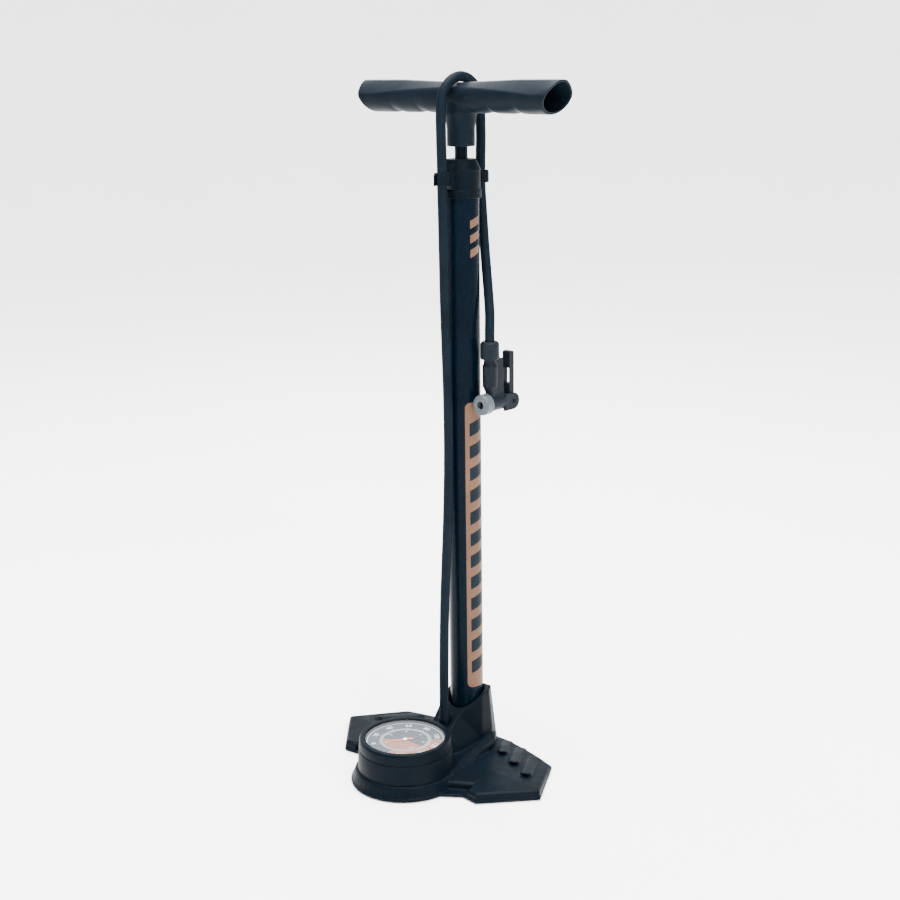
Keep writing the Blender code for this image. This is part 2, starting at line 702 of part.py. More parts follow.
def barrel_cap():
    inner = BARREL_R + FIT
    under = BARREL_TOP_Z + FIT
    profile = [
        (inner, CAP_FOOT_Z), (CAP_RING_R, CAP_FOOT_Z), (CAP_RING_R, 0.6006), (CAP_R - 0.0006, 0.6010),
        (CAP_R - 0.0006, 0.6195), (CAP_R, CAP_CHAMFER_Z), (CAP_TOP_R, CAP_TOP_Z), (ROD_R + 0.0010, CAP_TOP_Z),
        (ROD_R + 0.0010, under), (inner, under),
    ]
    cap = turned("barrel_cap", profile, black_plastic(), ROUND, closed=True)
    for y, facing in ((FRONT_CLIP_Y, -1), (REAR_CLIP_Y, 1)):
        clip, web, rib = hose_clip(y, facing)
        join_to(cap, web, clip, rib)
    tidy_mesh(cap)
    low, high = BUSH_Z
    outer = BARREL_BORE_R - FIT
    bush = [(ROD_R + FIT, low), (0.0120, low), (0.0120, high - 0.012), (outer, high - 0.012), (outer, high),
            (ROD_R + FIT, high)]
    turned("rod_bush", bush, white_plastic(), SMALL_ROUND, closed=True)


# Handle

def bar_section(x, shrink=0.0):
    """Half depth, top and bottom of the grip at x, as offsets from its mid height."""
    share = min(1.0, abs(x) / BAR_HALF_LENGTH)
    depth = 0.0165 + 0.0053 * share ** 1.5
    top = 0.0137 + 0.0026 * min(1.0, share * 1.6)
    bottom = 0.0155 + 0.0003 * share
    for place in NOTCH_PLACES:
        bottom -= 0.0018 * max(0.0, 1.0 - abs(abs(x) - place) / 0.006)
    return depth - shrink, top - shrink, bottom - shrink


def bar_ring(x, shrink=0.0, lean=BAR_END_LEAN):
    """The grip's outline at x: an arched top and underside that meet in a crease at mid height."""
    depth, top, bottom = bar_section(x, shrink)
    ring = []
    for step in range(16):
        angle = math.tau * step / 16
        rise = math.sin(angle)
        height = (top if rise > 0 else bottom) * abs(rise) ** BAR_CREASE * (1 if rise > 0 else -1)
        run = depth * math.cos(angle)
        share = min(1.0, abs(x) / BAR_HALF_LENGTH) ** 4
        outward = math.copysign(lean * share, x)
        ring.append((x + outward * height, run, BAR_MID_Z + height))
    return ring


def handle():
    places = {0.0, 0.014, 0.026, 0.060, 0.100, BAR_HALF_LENGTH}
    for place in NOTCH_PLACES:
        places |= {place - 0.006, place, place + 0.006}
    stations = sorted(places | {-place for place in places})
    grip = lofted("handle", [bar_ring(x) for x in stations])
    profile = [(0.0, STEM_FOOT_Z), (STEM_R - 0.0006, STEM_FOOT_Z), (STEM_R, STEM_FOOT_Z + 0.0006),
               (STEM_R, 0.6640), (STEM_R + 0.0008, 0.6700), (STEM_R + 0.0024, 0.6745),
               (STEM_R + 0.002, 0.6850), (0.0, 0.6860)]
    join_to(grip, turned("stem", profile))
    for side in (-1, 1):
        inner = side * (BAR_HALF_LENGTH - BAR_HOLLOW)
        outer = side * (BAR_HALF_LENGTH + 0.012)
        cut_from(grip, lofted("hollow", [bar_ring(inner, BAR_WALL), bar_ring(outer, BAR_WALL)]))
    cut_from(
        grip,
        drill(ROD_R + FIT, 0.6, ROD_TOP_Z + FIT, sides=24),
        drill(INSERT_R + FIT, INSERT_Z[0] - FIT, INSERT_Z[1] + FIT, sides=24),
    )
    grip.data.materials.clear()
    grip.data.materials.append(black_plastic())
    tidy_mesh(grip)
    set_origin(grip, (0.0, 0.0, STEM_FOOT_Z))
    turned("handle_insert", ring_profile(ROD_R + FIT, INSERT_R, *INSERT_Z), brass(), SMALL_ROUND, closed=True)


# Gauge

def at_gauge():
    return Matrix.Translation((0.0, GAUGE_Y, 0.0))


def gauge_case():
    foot = SKIRT_TOP_Z + FIT
    floor = foot + HOUSING_FLOOR
    profile = [(0.0, foot), (HOUSING_FOOT_R, foot), (HOUSING_TOP_R, HOUSING_TOP_Z),
               (HOUSING_BORE_R, HOUSING_TOP_Z), (HOUSING_BORE_R, floor), (0.0, floor)]
    housing = turned("gauge_housing", profile, black_plastic(), WIDE_ROUND, place=at_gauge())
    cut_from(housing, drill(BOURDON_TUBE_R + FIT, 0.01, 0.03, y=INLET_Y, sides=12))
    tidy_mesh(housing)
    low = HOUSING_TOP_Z + FIT
    lip = LENS_TOP_Z + FIT
    bezel = [(LENS_SEAT_R, low), (HOUSING_TOP_R - 0.0003, low), (RIM_R + 0.0002, RIM_Z - 0.0022),
             (RIM_R - 0.0010, RIM_Z - 0.0004), (RIM_R - 0.0022, RIM_Z), (WINDOW_R + 0.0008, RIM_Z),
             (WINDOW_R, RIM_Z - 0.0007), (WINDOW_R, lip), (LENS_SEAT_R, lip)]
    turned("gauge_bezel", bezel, black_plastic(), WIDE_ROUND, closed=True, place=at_gauge())
    lens_low = LENS_TOP_Z - LENS_THICKNESS
    seat = LENS_SEAT_R - FIT
    turned("gauge_lens", rod_profile(seat, lens_low, LENS_TOP_Z), clear_plastic(), ROUND, place=at_gauge())
    dial_low = DIAL_TOP_Z - DIAL_THICKNESS
    seal = ring_profile(seat - 0.0015, seat, DIAL_TOP_Z + FIT, lens_low - FIT)
    turned("lens_seal", seal, soft_rubber(), ROUND, closed=True, place=at_gauge())
    face = ring_profile(0.0016, seat, dial_low, DIAL_TOP_Z)
    turned("gauge_dial", face, dial_print(), ROUND, closed=True, place=at_gauge())


def teeth_outline(pitch_radius, teeth, first, last):
    """Trapezoid teeth, numbered from the +Y direction, with plenty of backlash."""
    corners = [(-TOOTH_ROOT, -TOOTH_DEPTH), (-TOOTH_TIP, TOOTH_RISE), (TOOTH_TIP, TOOTH_RISE),
               (TOOTH_ROOT, -TOOTH_DEPTH)]
    points = []
    for tooth in range(first, last + 1):
        middle = math.pi / 2 - math.tau * tooth / teeth
        for along, rise in corners:
            radius = pitch_radius + rise
            angle = middle - along / radius
            points.append((radius * math.cos(angle), radius * math.sin(angle)))
    return points


def gauge_works():
    profile = rod_profile(PLATE_R, PLATE_Z, PLATE_Z + PLATE_THICKNESS)
    plate = turned("movement_plate", profile, brass(), SMALL_ROUND, place=at_gauge())
    post_top = PLATE_Z + PLATE_THICKNESS + 0.0040
    post = drill(SHAFT_R, PLATE_Z + 0.0005, post_top, *SECTOR_PIVOT, sides=12)
    join_to(plate, post)
    cut_from(plate, drill(SHAFT_R + FIT, 0.0, 0.1, y=GAUGE_Y, sides=12))
    tidy_mesh(plate)
    shaft_low = PLATE_Z - 0.003
    pinion = (PLATE_Z + PLATE_THICKNESS + FIT, PLATE_Z + PLATE_THICKNESS + 0.0030)
    shaft = turned("needle_shaft", rod_profile(SHAFT_R, shaft_low, NEEDLE_Z - FIT), brass(), 12)
    teeth = teeth_outline(PINION_R, PINION_TEETH, 0, PINION_TEETH - 1)
    join_to(shaft, prism("pinion", teeth, *pinion))
    tidy_mesh(shaft)
    shaft.location = (0.0, GAUGE_Y, 0.0)
    shaft.rotation_euler = (0.0, 0.0, math.pi / PINION_TEETH)
    fan = teeth_outline(SECTOR_R, SECTOR_TEETH, -SECTOR_END_TOOTH, SECTOR_END_TOOTH)
    fan += [(0.0026, 0.0), (0.0, -0.0030), (-0.0026, 0.0)]
    sector = prism("sector_gear", fan, pinion[0] + 0.0003, pinion[1] - 0.0005, brass())
    cut_from(sector, drill(SHAFT_R + FIT, 0.0, 0.1, sides=12))
    tidy_mesh(sector)
    sector.location = (*SECTOR_PIVOT, 0.0)
    sector.rotation_euler = (0.0, 0.0, -math.tau * SECTOR_REST_TOOTH / SECTOR_TEETH)


def needle():
    tip = 0.0003
    waist = 0.0009
    hub = 0.0017
    wide = 0.0021
    outline = [(NEEDLE_LENGTH, -tip), (NEEDLE_LENGTH, tip), (hub, waist), (0.0, wide), (-hub, waist),
               (-NEEDLE_TAIL, waist), (-NEEDLE_TAIL, -waist), (-hub, -waist), (0.0, -wide), (hub, -waist)]
    pointer = prism("needle", outline, NEEDLE_Z, NEEDLE_Z + NEEDLE_THICKNESS, orange_paint())
    join_to(pointer, drill(0.0016, NEEDLE_Z + 0.0001, NEEDLE_Z + 0.0012, sides=12))
    tidy_mesh(pointer)
    pointer.location = (0.0, GAUGE_Y, 0.0)
    pointer.rotation_euler = (0.0, 0.0, NEEDLE_REST)


def bourdon_tube():
    """The inlet stem rises through the housing, then the tube curls round inside it."""
    floor = SKIRT_TOP_Z + FIT + HOUSING_FLOOR
    profile = rod_profile(BOURDON_TUBE_R, DUCT_Z + 0.001, BOURDON_Z - BOURDON_TUBE_R - FIT)
    stem = turned("gauge_inlet", profile, brass(), 12, place=Matrix.Translation((0.0, INLET_Y, 0.0)))
    flange = drill(0.0042, floor + FIT, floor + 0.003, y=INLET_Y, sides=12)
    join_to(stem, flange)
    tidy_mesh(stem)
    curl = arc((0.0, GAUGE_Y), BOURDON_R, 94, 350, 22)
    tube("bourdon_tube", [(x, y, BOURDON_Z) for x, y in curl], BOURDON_TUBE_R, brass(), resolution=1)


# Hose and pump head

def smooth_route(points, spacing):
    """Evenly spaced points on a smooth curve through the given ones."""
    places = [Vector(point) for point in points]
    places = [2 * places[0] - places[1]] + places + [2 * places[-1] - places[-2]]
    dense = []
    for first, second, third, fourth in zip(places, places[1:], places[2:], places[3:]):
        knots = [0.0]
        for start, end in ((first, second), (second, third), (third, fourth)):
            knots.append(knots[-1] + max((end - start).length, 1e-9) ** 0.5)
        for step in range(24):
            at = knots[1] + (knots[2] - knots[1]) * step / 24
            one = first.lerp(second, (at - knots[0]) / (knots[1] - knots[0]))
            two = second.lerp(third, (at - knots[1]) / (knots[2] - knots[1]))
            three = third.lerp(fourth, (at - knots[2]) / (knots[3] - knots[2]))
            low = one.lerp(two, (at - knots[0]) / (knots[2] - knots[0]))
            high = two.lerp(three, (at - knots[1]) / (knots[3] - knots[1]))
            dense.append(low.lerp(high, (at - knots[1]) / (knots[2] - knots[1])))
    dense.append(places[-2])
    travelled = [0.0]
    for start, end in zip(dense, dense[1:]):
        travelled.append(travelled[-1] + (end - start).length)
    count = max(2, round(travelled[-1] / spacing))
    even = []
    index = 0
    for step in range(count + 1):
        wanted = travelled[-1] * step / count
        while index < len(dense) - 2 and travelled[index + 1] < wanted:
            index += 1
        span = travelled[index + 1] - travelled[index]
        even.append(tuple(dense[index].lerp(dense[index + 1], min(1.0, (wanted - travelled[index]) / span))))
    return even


def hose_loop_route():
    """Up from the front clip, over the handle and down to the rear clip."""
    start = CLIP_MIDDLE_Z + FIT
    up = [(0.0, FRONT_CLIP_Y, start), (0.0, FRONT_CLIP_Y, 0.626), (0.0, -0.0290, 0.652)]
    over = [(0.0, y, z) for y, z in arc((0.0, LOOP_CENTRE_Z), LOOP_R, 180, 0, 8)]
    down = [(0.0, 0.0298, 0.652), (0.0, REAR_CLIP_Y, 0.626), (0.0, REAR_CLIP_Y, start)]
    return up + over + down


def hose():
    tube("hose_lower", smooth_route(HOSE_LOWER_ROUTE, LOWER_SPACING), HOSE_R, hose_rubber())
    tube("hose_loop", smooth_route(hose_loop_route(), LOOP_SPACING), HOSE_R, hose_rubber())
    tube("hose_drop", smooth_route(HOSE_DROP_ROUTE, DROP_SPACING), HOSE_R, hose_rubber())


def hose_gland():
    low, high = GLAND_Z
    profile = [(DUCT_R, low), (GLAND_R, low), (GLAND_R, high - 0.0015), (GLAND_R - 0.0008, high),
               (HOSE_R + FIT, high), (HOSE_R + FIT, GLAND_SEAT_Z), (DUCT_R, GLAND_SEAT_Z)]
    turned("hose_gland", profile, black_plastic(), SMALL_ROUND, closed=True,
           place=Matrix.Translation((0.0, GLAND_Y, 0.0)))


def hose_nut():
    low, high = HOSE_NUT_Z
    inner = 0.0076
    profile = [(inner, low), (HOSE_NUT_R - 0.0008, low), (HOSE_NUT_R, low + 0.0015),
               (HOSE_NUT_R, high - 0.0025), (HOSE_NUT_R - 0.0018, high), (HOSE_R + FIT, high),
               (HOSE_R + FIT, NECK_TOP_Z + FIT), (inner, NECK_TOP_Z + FIT)]
    turned("hose_nut", profile, black_plastic(), SMALL_ROUND, closed=True,
           place=Matrix.Translation((HEAD_X, NECK_Y, 0.0)))


def head_body():
    neck = [(0.0, 0.3900), (0.0049, 0.3900), (0.0049, 0.3992), (0.0076, 0.4050), (0.0078, 0.4255),
            (0.0063, 0.4290), (0.0063, 0.4325), (0.0072, 0.4335), (0.0072, NECK_TOP_Z), (0.0, NECK_TOP_Z)]
    body = turned("head_body", neck, black_plastic(), SMALL_ROUND,
                  place=Matrix.Translation((HEAD_X, NECK_Y, 0.0)))
    web = [(NECK_Y, WEB_BACK[0][1])] + WEB_BACK + [(NECK_Y, WEB_BACK[-1][1])]
    sides = (HEAD_X - HEAD_WEB_HALF, HEAD_X + HEAD_WEB_HALF)
    join_to(body, lofted("web", [[(x, y, z) for y, z in web] for x in sides]))
    length = NOZZLE_BACK_Y - SPIGOT_FRONT_Y
    step = NOZZLE_FRONT_Y - SPIGOT_FRONT_Y
    barrel_profile = [(0.0, 0.0), (SPIGOT_R, 0.0), (SPIGOT_R, step), (NOZZLE_R - 0.0004, step),
                      (NOZZLE_R, step + 0.0004), (NOZZLE_R, length), (0.0, length)]
    join_to(body, turned("nozzle", barrel_profile, sides=24, place=along_y(HEAD_X, NOZZLE_Z, SPIGOT_FRONT_Y)))
    inner, outer = EAR_X
    ear_foot_y = PIVOT_Y - EAR_REACH
    for side in (-1, 1):
        near = HEAD_X + side * (inner - FIT)
        far = HEAD_X + side * outer
        round_end = [(ear_foot_y, PIVOT_Z - EAR_R)] + arc((PIVOT_Y, PIVOT_Z), EAR_R, -90, 90, 8)
        round_end.append((ear_foot_y, PIVOT_Z + EAR_R))
        join_to(body, lofted("ear", [[(x, y, z) for y, z in round_end] for x in (near, far)]))
    slot = block("slot", (HEAD_X - inner, NOZZLE_BACK_Y - 0.0006, 0.36), (HEAD_X + inner, 0.06, 0.42))
    pin_hole = turned("pin_hole", rod_profile(PIN_R + FIT, 0.0, 0.03), sides=16,
                      place=along_x(HEAD_X - 0.015, PIVOT_Y, PIVOT_Z))
    bore_length = NOZZLE_BACK_Y - SPIGOT_FRONT_Y + 0.002
    bore = turned("bore", rod_profile(NOZZLE_BORE_R, 0.0, bore_length),
                  place=along_y(HEAD_X, NOZZLE_Z, SPIGOT_FRONT_Y - 0.001))
    cut_from(body, slot, pin_hole, bore)
    tidy_mesh(body)


def nozzle_parts():
    face = 0.0022
    seat_r = SPIGOT_R + FIT
    back = NOZZLE_FRONT_Y - FIT - TIP_FRONT_Y
    profile = [(TIP_HOLE_R, 0.0), (TIP_R - 0.0012, 0.0), (TIP_R, 0.0012), (TIP_R, back - 0.0006),
               (TIP_R - 0.0006, back), (seat_r, back), (seat_r, face), (TIP_HOLE_R, face)]
    cap = turned("nozzle_cap", profile, grey_plastic(), 24, closed=True, place=along_y(0.0, 0.0))
    cap.location = (HEAD_X, TIP_FRONT_Y, NOZZLE_Z)
    gasket = ring_profile(GASKET_HOLE_R, seat_r - FIT, TIP_FRONT_Y + face + FIT, SPIGOT_FRONT_Y - FIT)
    turned("nozzle_gasket", gasket, soft_rubber(), SMALL_ROUND, closed=True, place=along_y(HEAD_X, NOZZLE_Z))
    length = PLUNGER_BACK_Y - PLUNGER_FRONT_Y
    core = [(0.0, length - 0.006), (0.0020, length - 0.006), (0.0020, 0.0), (PLUNGER_R, 0.0),
            (PLUNGER_R, length), (0.0, length)]
    plunger = turned("nozzle_plunger", core, white_plastic(), SMALL_ROUND, place=along_y(0.0, 0.0))
    plunger.location = (HEAD_X, PLUNGER_FRONT_Y, NOZZLE_Z)


def lever():
    """The cam lies between the ears, and the arm rises from it beside the hose."""
    cam = arc((PIVOT_Y, PIVOT_Z), CAM_R, 0, 180, 10)
    cam += arc((PIVOT_Y, PIVOT_Z - CAM_LOBE_DROP), CAM_LOBE_R, 180, 360, 10)
    half = EAR_X[0] - 0.0004
    knuckle = lofted("lever", [[(HEAD_X + x, y, z) for y, z in cam] for x in (-half, half)], black_plastic())
    near, far = LEVER_Y
    side = [(near, PIVOT_Z), (far, PIVOT_Z), (far, LEVER_TOP_Z - 0.0015), (far - 0.0015, LEVER_TOP_Z),
            (near + 0.0015, LEVER_TOP_Z), (near, LEVER_TOP_Z - 0.0015)]
    width = LEVER_HALF_WIDTH
    arm = lofted("arm", [[(HEAD_X + x, y, z) for y, z in side] for x in (-width, width)])
    join_to(knuckle, arm)
    low, high = LEVER_SLOT_Z
    slot = block("slot", (HEAD_X - LEVER_SLOT_HALF, near - 0.002, low),
                 (HEAD_X + LEVER_SLOT_HALF, far + 0.001, high))
    cut_from(knuckle, slot)
    hole = turned("hole", rod_profile(PIN_R + FIT, 0.0, 0.03), sides=16,
                  place=along_x(HEAD_X - 0.015, PIVOT_Y, PIVOT_Z))
    cut_from(knuckle, hole)
    tidy_mesh(knuckle)
    set_origin(knuckle, (HEAD_X, PIVOT_Y, PIVOT_Z))
    reach = EAR_X[1] + 0.0004
    turned("lever_pin", rod_profile(PIN_R, 0.0, 2 * reach, 0.0003), steel(), 16,
           place=along_x(HEAD_X - reach, PIVOT_Y, PIVOT_Z))


def main():
    clear_scene()
    base_casting()
    pads()
    barrel()
    foot_plug()
    foot_valve()
    piston_parts()
    barrel_cap()
    handle()
    gauge_case()
    gauge_works()
    needle()
    bourdon_tube()
    hose_gland()
    hose()
    hose_nut()
    head_body()
    nozzle_parts()
    lever()


main()
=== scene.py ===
"""Looks of the bicycle floor pump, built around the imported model. Metres, +Z up, the barrel on the Z axis."""

import math

import bmesh
import bpy
from mathutils import Matrix, Vector


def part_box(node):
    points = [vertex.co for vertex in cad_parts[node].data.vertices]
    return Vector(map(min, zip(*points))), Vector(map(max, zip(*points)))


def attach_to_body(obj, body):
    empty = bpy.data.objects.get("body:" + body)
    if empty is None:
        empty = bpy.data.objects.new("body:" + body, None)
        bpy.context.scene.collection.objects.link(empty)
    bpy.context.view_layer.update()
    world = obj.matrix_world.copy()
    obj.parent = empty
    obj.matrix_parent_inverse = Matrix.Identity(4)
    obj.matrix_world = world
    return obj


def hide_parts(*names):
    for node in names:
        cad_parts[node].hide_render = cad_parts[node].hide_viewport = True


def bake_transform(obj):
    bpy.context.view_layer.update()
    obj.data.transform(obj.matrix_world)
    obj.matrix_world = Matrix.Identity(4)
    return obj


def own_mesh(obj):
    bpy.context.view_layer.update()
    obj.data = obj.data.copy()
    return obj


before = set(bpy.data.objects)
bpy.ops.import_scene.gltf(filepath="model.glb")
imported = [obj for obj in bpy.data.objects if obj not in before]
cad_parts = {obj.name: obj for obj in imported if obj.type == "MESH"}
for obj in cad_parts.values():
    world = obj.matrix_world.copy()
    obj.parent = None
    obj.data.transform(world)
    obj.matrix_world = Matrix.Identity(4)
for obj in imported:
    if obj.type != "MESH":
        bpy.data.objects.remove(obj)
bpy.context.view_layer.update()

# Camera
CAMERA_PLACE = (0.9913, -1.1160, 0.7259)
CAMERA_HEADING = math.radians(42.18)     # from +Y towards -X, seen from above
CAMERA_PITCH = math.radians(14.70)       # down
CAMERA_ROLL = math.radians(-0.75)
CAMERA_LENS = 59.67

# Light: name, place, size and power of each soft box
LIGHTS = (
    ("overhead", (0.0, 0.0, 3.6), 3.4, 1000.0),
    ("right_front", (1.9, -0.6, 1.7), 0.9, 70.0),
    ("left_back", (-1.6, 1.2, 1.8), 0.9, 30.0),
)
LIGHT_AIM = (0.0, 0.0, 0.35)
WORLD_STRENGTH = 0.9
HORIZON = (0.42, (0.16, 0.18, 0.20, 1.0))          # the sky's two stops, as place and colour
ZENITH = (0.75, (0.93, 0.97, 1.0, 1.0))

# Floor: (radius, height) of its rings
FLOOR_RINGS = ((1.2, 0.0), (2.6, 0.0), (3.4, 0.10), (4.1, 0.42), (4.6, 1.0), (4.75, 1.65))
FLOOR_SIDES = 96

# Finish of the meshes
FINE = 128                               # sides of a large round piece
SMALL = 64                               # sides of a small one
FILLET_STEPS = 5
WELD = 1e-6                              # points nearer than this become one
SHARP = 32.0                             # an edge over this many degrees stays crisp
THIN_SHARP = 40.0                        # the same for tubes, printing and the dial
EASE = 0.5                               # how strongly each pass eases a moulding's edges
BASE_VOXEL = 0.0008
HANDLE_VOXEL = 0.0006
CAP_VOXEL = 0.00045
HEAD_VOXEL = 0.00032
LEVER_VOXEL = 0.00024
SKIN = 0.00012                           # how far the top of a printed layer stands off what it is on
SKIN_FOOT = SKIN * 0.2                   # and its underside

# Hose: its centre line, through the points given
HOSE_RADIUS = 0.0050
GLAND_Y = -0.0366
FRONT_CLIP_Y = -0.0284
REAR_CLIP_Y = 0.0290
LOOP_RADIUS = 0.0287
LOOP_CENTRE_Z = 0.6806
HEAD_X = 0.0310
NECK_Y = 0.0054
HOSE_END_Z = 0.4425
HOSE_UP = [
    (0.0, GLAND_Y, 0.0403), (0.0, -0.0364, 0.060), (0.0, -0.0358, 0.105), (0.0, -0.0332, 0.175),
    (0.0, -0.0300, 0.222), (0.0, -0.0270, 0.265), (0.0, -0.0243, 0.328), (0.0, -0.0241, 0.391),
    (0.0, -0.0255, 0.443), (0.0, -0.0270, 0.494), (0.0, -0.0275, 0.543), (0.0, -0.0281, 0.585),
    (0.0, FRONT_CLIP_Y, 0.604), (0.0, FRONT_CLIP_Y, 0.626), (0.0, -0.0290, 0.652),
]
HOSE_DOWN = [
    (0.0, 0.0298, 0.652), (0.0, REAR_CLIP_Y, 0.626), (0.0, REAR_CLIP_Y, 0.603), (0.0026, 0.0282, 0.576),
    (0.0092, 0.0243, 0.538), (0.0185, 0.0180, 0.500), (0.0270, 0.0103, 0.476),
    (HEAD_X - 0.0001, NECK_Y, 0.460), (HEAD_X, NECK_Y, HOSE_END_Z),
]
HOSE_STEP = 0.0020
HOSE_SIDES = 28
CURVE_STEPS = 24                         # between two of the points above

# Treads on the feet: front ends as (x, y, height), and which way they run
TREAD_DIRECTION = Vector((-0.48, 0.877, 0.0))
TREAD_ACROSS = Vector((0.877, 0.48, 0.0))
TREAD_FRONTS = ((0.0507, -0.001, 0.0086), (0.0767, -0.013, 0.0095), (0.1044, -0.027, 0.0106))
# Rings of the mouth under a tread's front: place along the tread, half width, half height
SCOOP_RINGS = ((-0.0080, 0.0044, 0.0014), (0.0004, 0.0044, 0.0014), (0.0030, 0.0034, 0.0008))
SCOOP_SIDES = 24

# Barrel
BARREL_WALL = 0.0015

# Handle: the grip runs along X
GRIP_HALF = 0.1200
GRIP_STEPS = 48
GRIP_SIDES = 64
GRIP_Z = 0.6900
GRIP_DEPTH = 0.0165                      # from its middle line along Y, halfway along the grip
GRIP_DEPTH_GAIN = 0.0053                 # and how much more at the ends
GRIP_TOP = 0.0137
GRIP_TOP_GAIN = 0.0026
GRIP_BOTTOM = 0.0155
GRIP_BOTTOM_GAIN = 0.0003
GRIP_WALL = 0.0022
GRIP_LEAN = 0.45                         # how far out the ends lean, per unit of height
FINGER_DENTS = (0.044, 0.079)
DENT_REACH = 0.0080
DENT_DEPTH = 0.0018
CREASE_ANGLE = 46.0                      # of the crease round the grip, in the middle
CREASE_DROP = 38.0                       # how far it has dropped at the ends
CREST_ANGLE = 76.0
FACET = 0.9                              # how flat the grip is above its crease
HOLLOW_X = (0.080, 0.132)
STEM_RADIUS = 0.0139
SOCKET_RADIUS = 0.0067
SOCKET_Z = (0.63, 0.6883)

# Gauge
GAUGE_Y = -0.097
CAN_TOP_RADIUS = 0.0486
CAN_BORE = 0.0462
CAN_FLOOR = 0.003
BEZEL_SEAT = 0.0431
WINDOW = 0.0411
GLASS_SEAT_Z = 0.0465
DIAL_ZERO = math.radians(236.0)          # from +X, seen from above
DIAL_SWEEP = math.radians(290.0)         # clockwise
SCALE_END = 160
SCALE_STEP = 20
TICK_VALUE = 4
TICKS_TO_MAJOR = 5
INNER_END = 11
INNER_STEP = 2
MAJOR_TICK = (0.0259, 0.0284, 0.00035)   # inner and outer radius, and width
MINOR_TICK = (0.0259, 0.0276, 0.00014)
INNER_TICK = (0.0226, 0.0237, 0.00028)
NUMERAL = (0.0332, 0.0074)               # radius and height
INNER_NUMERAL = (0.0196, 0.0046)
WARM_BAND = (0.0262, 0.0392, 48.0, 168.0)          # inner and outer radius, first and last degree
WARM_CENTRE = (0.0020, 0.0232, 90.0, 236.0)
DIAL_RINGS = ((0.0394, 0.0399), (0.0254, 0.0259), (0.0237, 0.0241))
DIAL_HOLE = 0.0016
PRINT_DEPTH = 0.00006
LOWER_PRINT = 0.00004                    # heights of the dial's printing above its face
UPPER_PRINT = 0.00014
NUMERAL_LIFT = 0.00003
NEEDLE_LENGTH = 0.0195
NEEDLE_TAIL = 0.0080

# Pump head
HOSE_HOLE = 0.0053
NOZZLE_Z = 0.3875
NOZZLE_BORE = 0.0042
NOZZLE_INSIDE = 0.0083
GLAND_BORE = 0.0022
GLAND_FLOOR_Z = 0.0400

# Printing on the barrel, as angles round it from +X
LABEL_Z = (0.0765, 0.3880)
LABEL_HALF_ANGLE = math.radians(45.0)
LABEL_CORNER = 0.0060
LABEL_PITCH = 0.0236
LABEL_BAR = 0.0135
LABEL_SLANT = 0.0060
LABEL_BAR_HALF_ANGLE = math.radians(30.0)
MARK_Z = (0.5370, 0.5800)
MARK_HALF_ANGLE = math.radians(21.0)
MARK_BARS = 3
MARK_SHARE = 0.55                        # of each bar's pitch that is printed
MARK_SLANT = 0.0050
WRAP_COLUMNS = 24
BAR_COLUMNS = 12


# Node materials

def new_material(name):
    made = bpy.data.materials.new(name)
    made.use_nodes = True
    return made, made.node_tree, made.node_tree.nodes["Principled BSDF"]


def link(tree, source, target):
    tree.links.new(source, target)


def noise(tree, scale, detail=3.0, roughness=0.55):
    """A noise in object space, in features per metre."""
    coordinates = tree.nodes.new("ShaderNodeTexCoord")
    texture = tree.nodes.new("ShaderNodeTexNoise")
    texture.inputs["Scale"].default_value = scale
    texture.inputs["Detail"].default_value = detail
    texture.inputs["Roughness"].default_value = roughness
    link(tree, coordinates.outputs["Object"], texture.inputs["Vector"])
    return texture.outputs["Fac"]


def spread(tree, source, low, high):
    """Maps the range where most of a noise lies onto low to high."""
    node = tree.nodes.new("ShaderNodeMapRange")
    node.inputs["From Min"].default_value = 0.3
    node.inputs["From Max"].default_value = 0.7
    node.inputs["To Min"].default_value = low
    node.inputs["To Max"].default_value = high
    link(tree, source, node.inputs["Value"])
    return node.outputs["Result"]


def two_tone(tree, source, first, second):
    ramp = tree.nodes.new("ShaderNodeValToRGB")
    ramp.color_ramp.elements[0].position = 0.35
    ramp.color_ramp.elements[1].position = 0.65
    ramp.color_ramp.elements[0].color = (*first, 1.0)
    ramp.color_ramp.elements[1].color = (*second, 1.0)
    link(tree, source, ramp.inputs["Fac"])
    return ramp.outputs["Color"]


def bump(tree, shader, source, distance):
    node = tree.nodes.new("ShaderNodeBump")
    node.inputs["Strength"].default_value = 0.4
    node.inputs["Distance"].default_value = distance
    link(tree, source, node.inputs["Height"])
    link(tree, node.outputs["Normal"], shader.inputs["Normal"])


def surface(name, colour, variation, roughness, grain, depth, metallic=0.0, gloss=0.5):
    """A colour that wanders slightly, a roughness that wears, and a fine grain of that many per metre."""
    made, tree, shader = new_material(name)
    brighter = tuple(channel * (1.0 + variation) for channel in colour)
    darker = tuple(channel * (1.0 - variation) for channel in colour)
    link(tree, two_tone(tree, noise(tree, 28.0, 5.0), darker, brighter), shader.inputs["Base Color"])
    wear = noise(tree, 75.0, 6.0, 0.65)
    link(tree, spread(tree, wear, *roughness), shader.inputs["Roughness"])
    shader.inputs["Metallic"].default_value = metallic
    shader.inputs["Specular IOR Level"].default_value = gloss
    bump(tree, shader, noise(tree, grain, 4.0, 0.6), depth)
    return made


def ink(name, colour, variation, roughness, gloss):
    """A smooth printed or painted finish."""
    return surface(name, colour, variation, roughness, 1500.0, 0.00001, gloss=gloss)


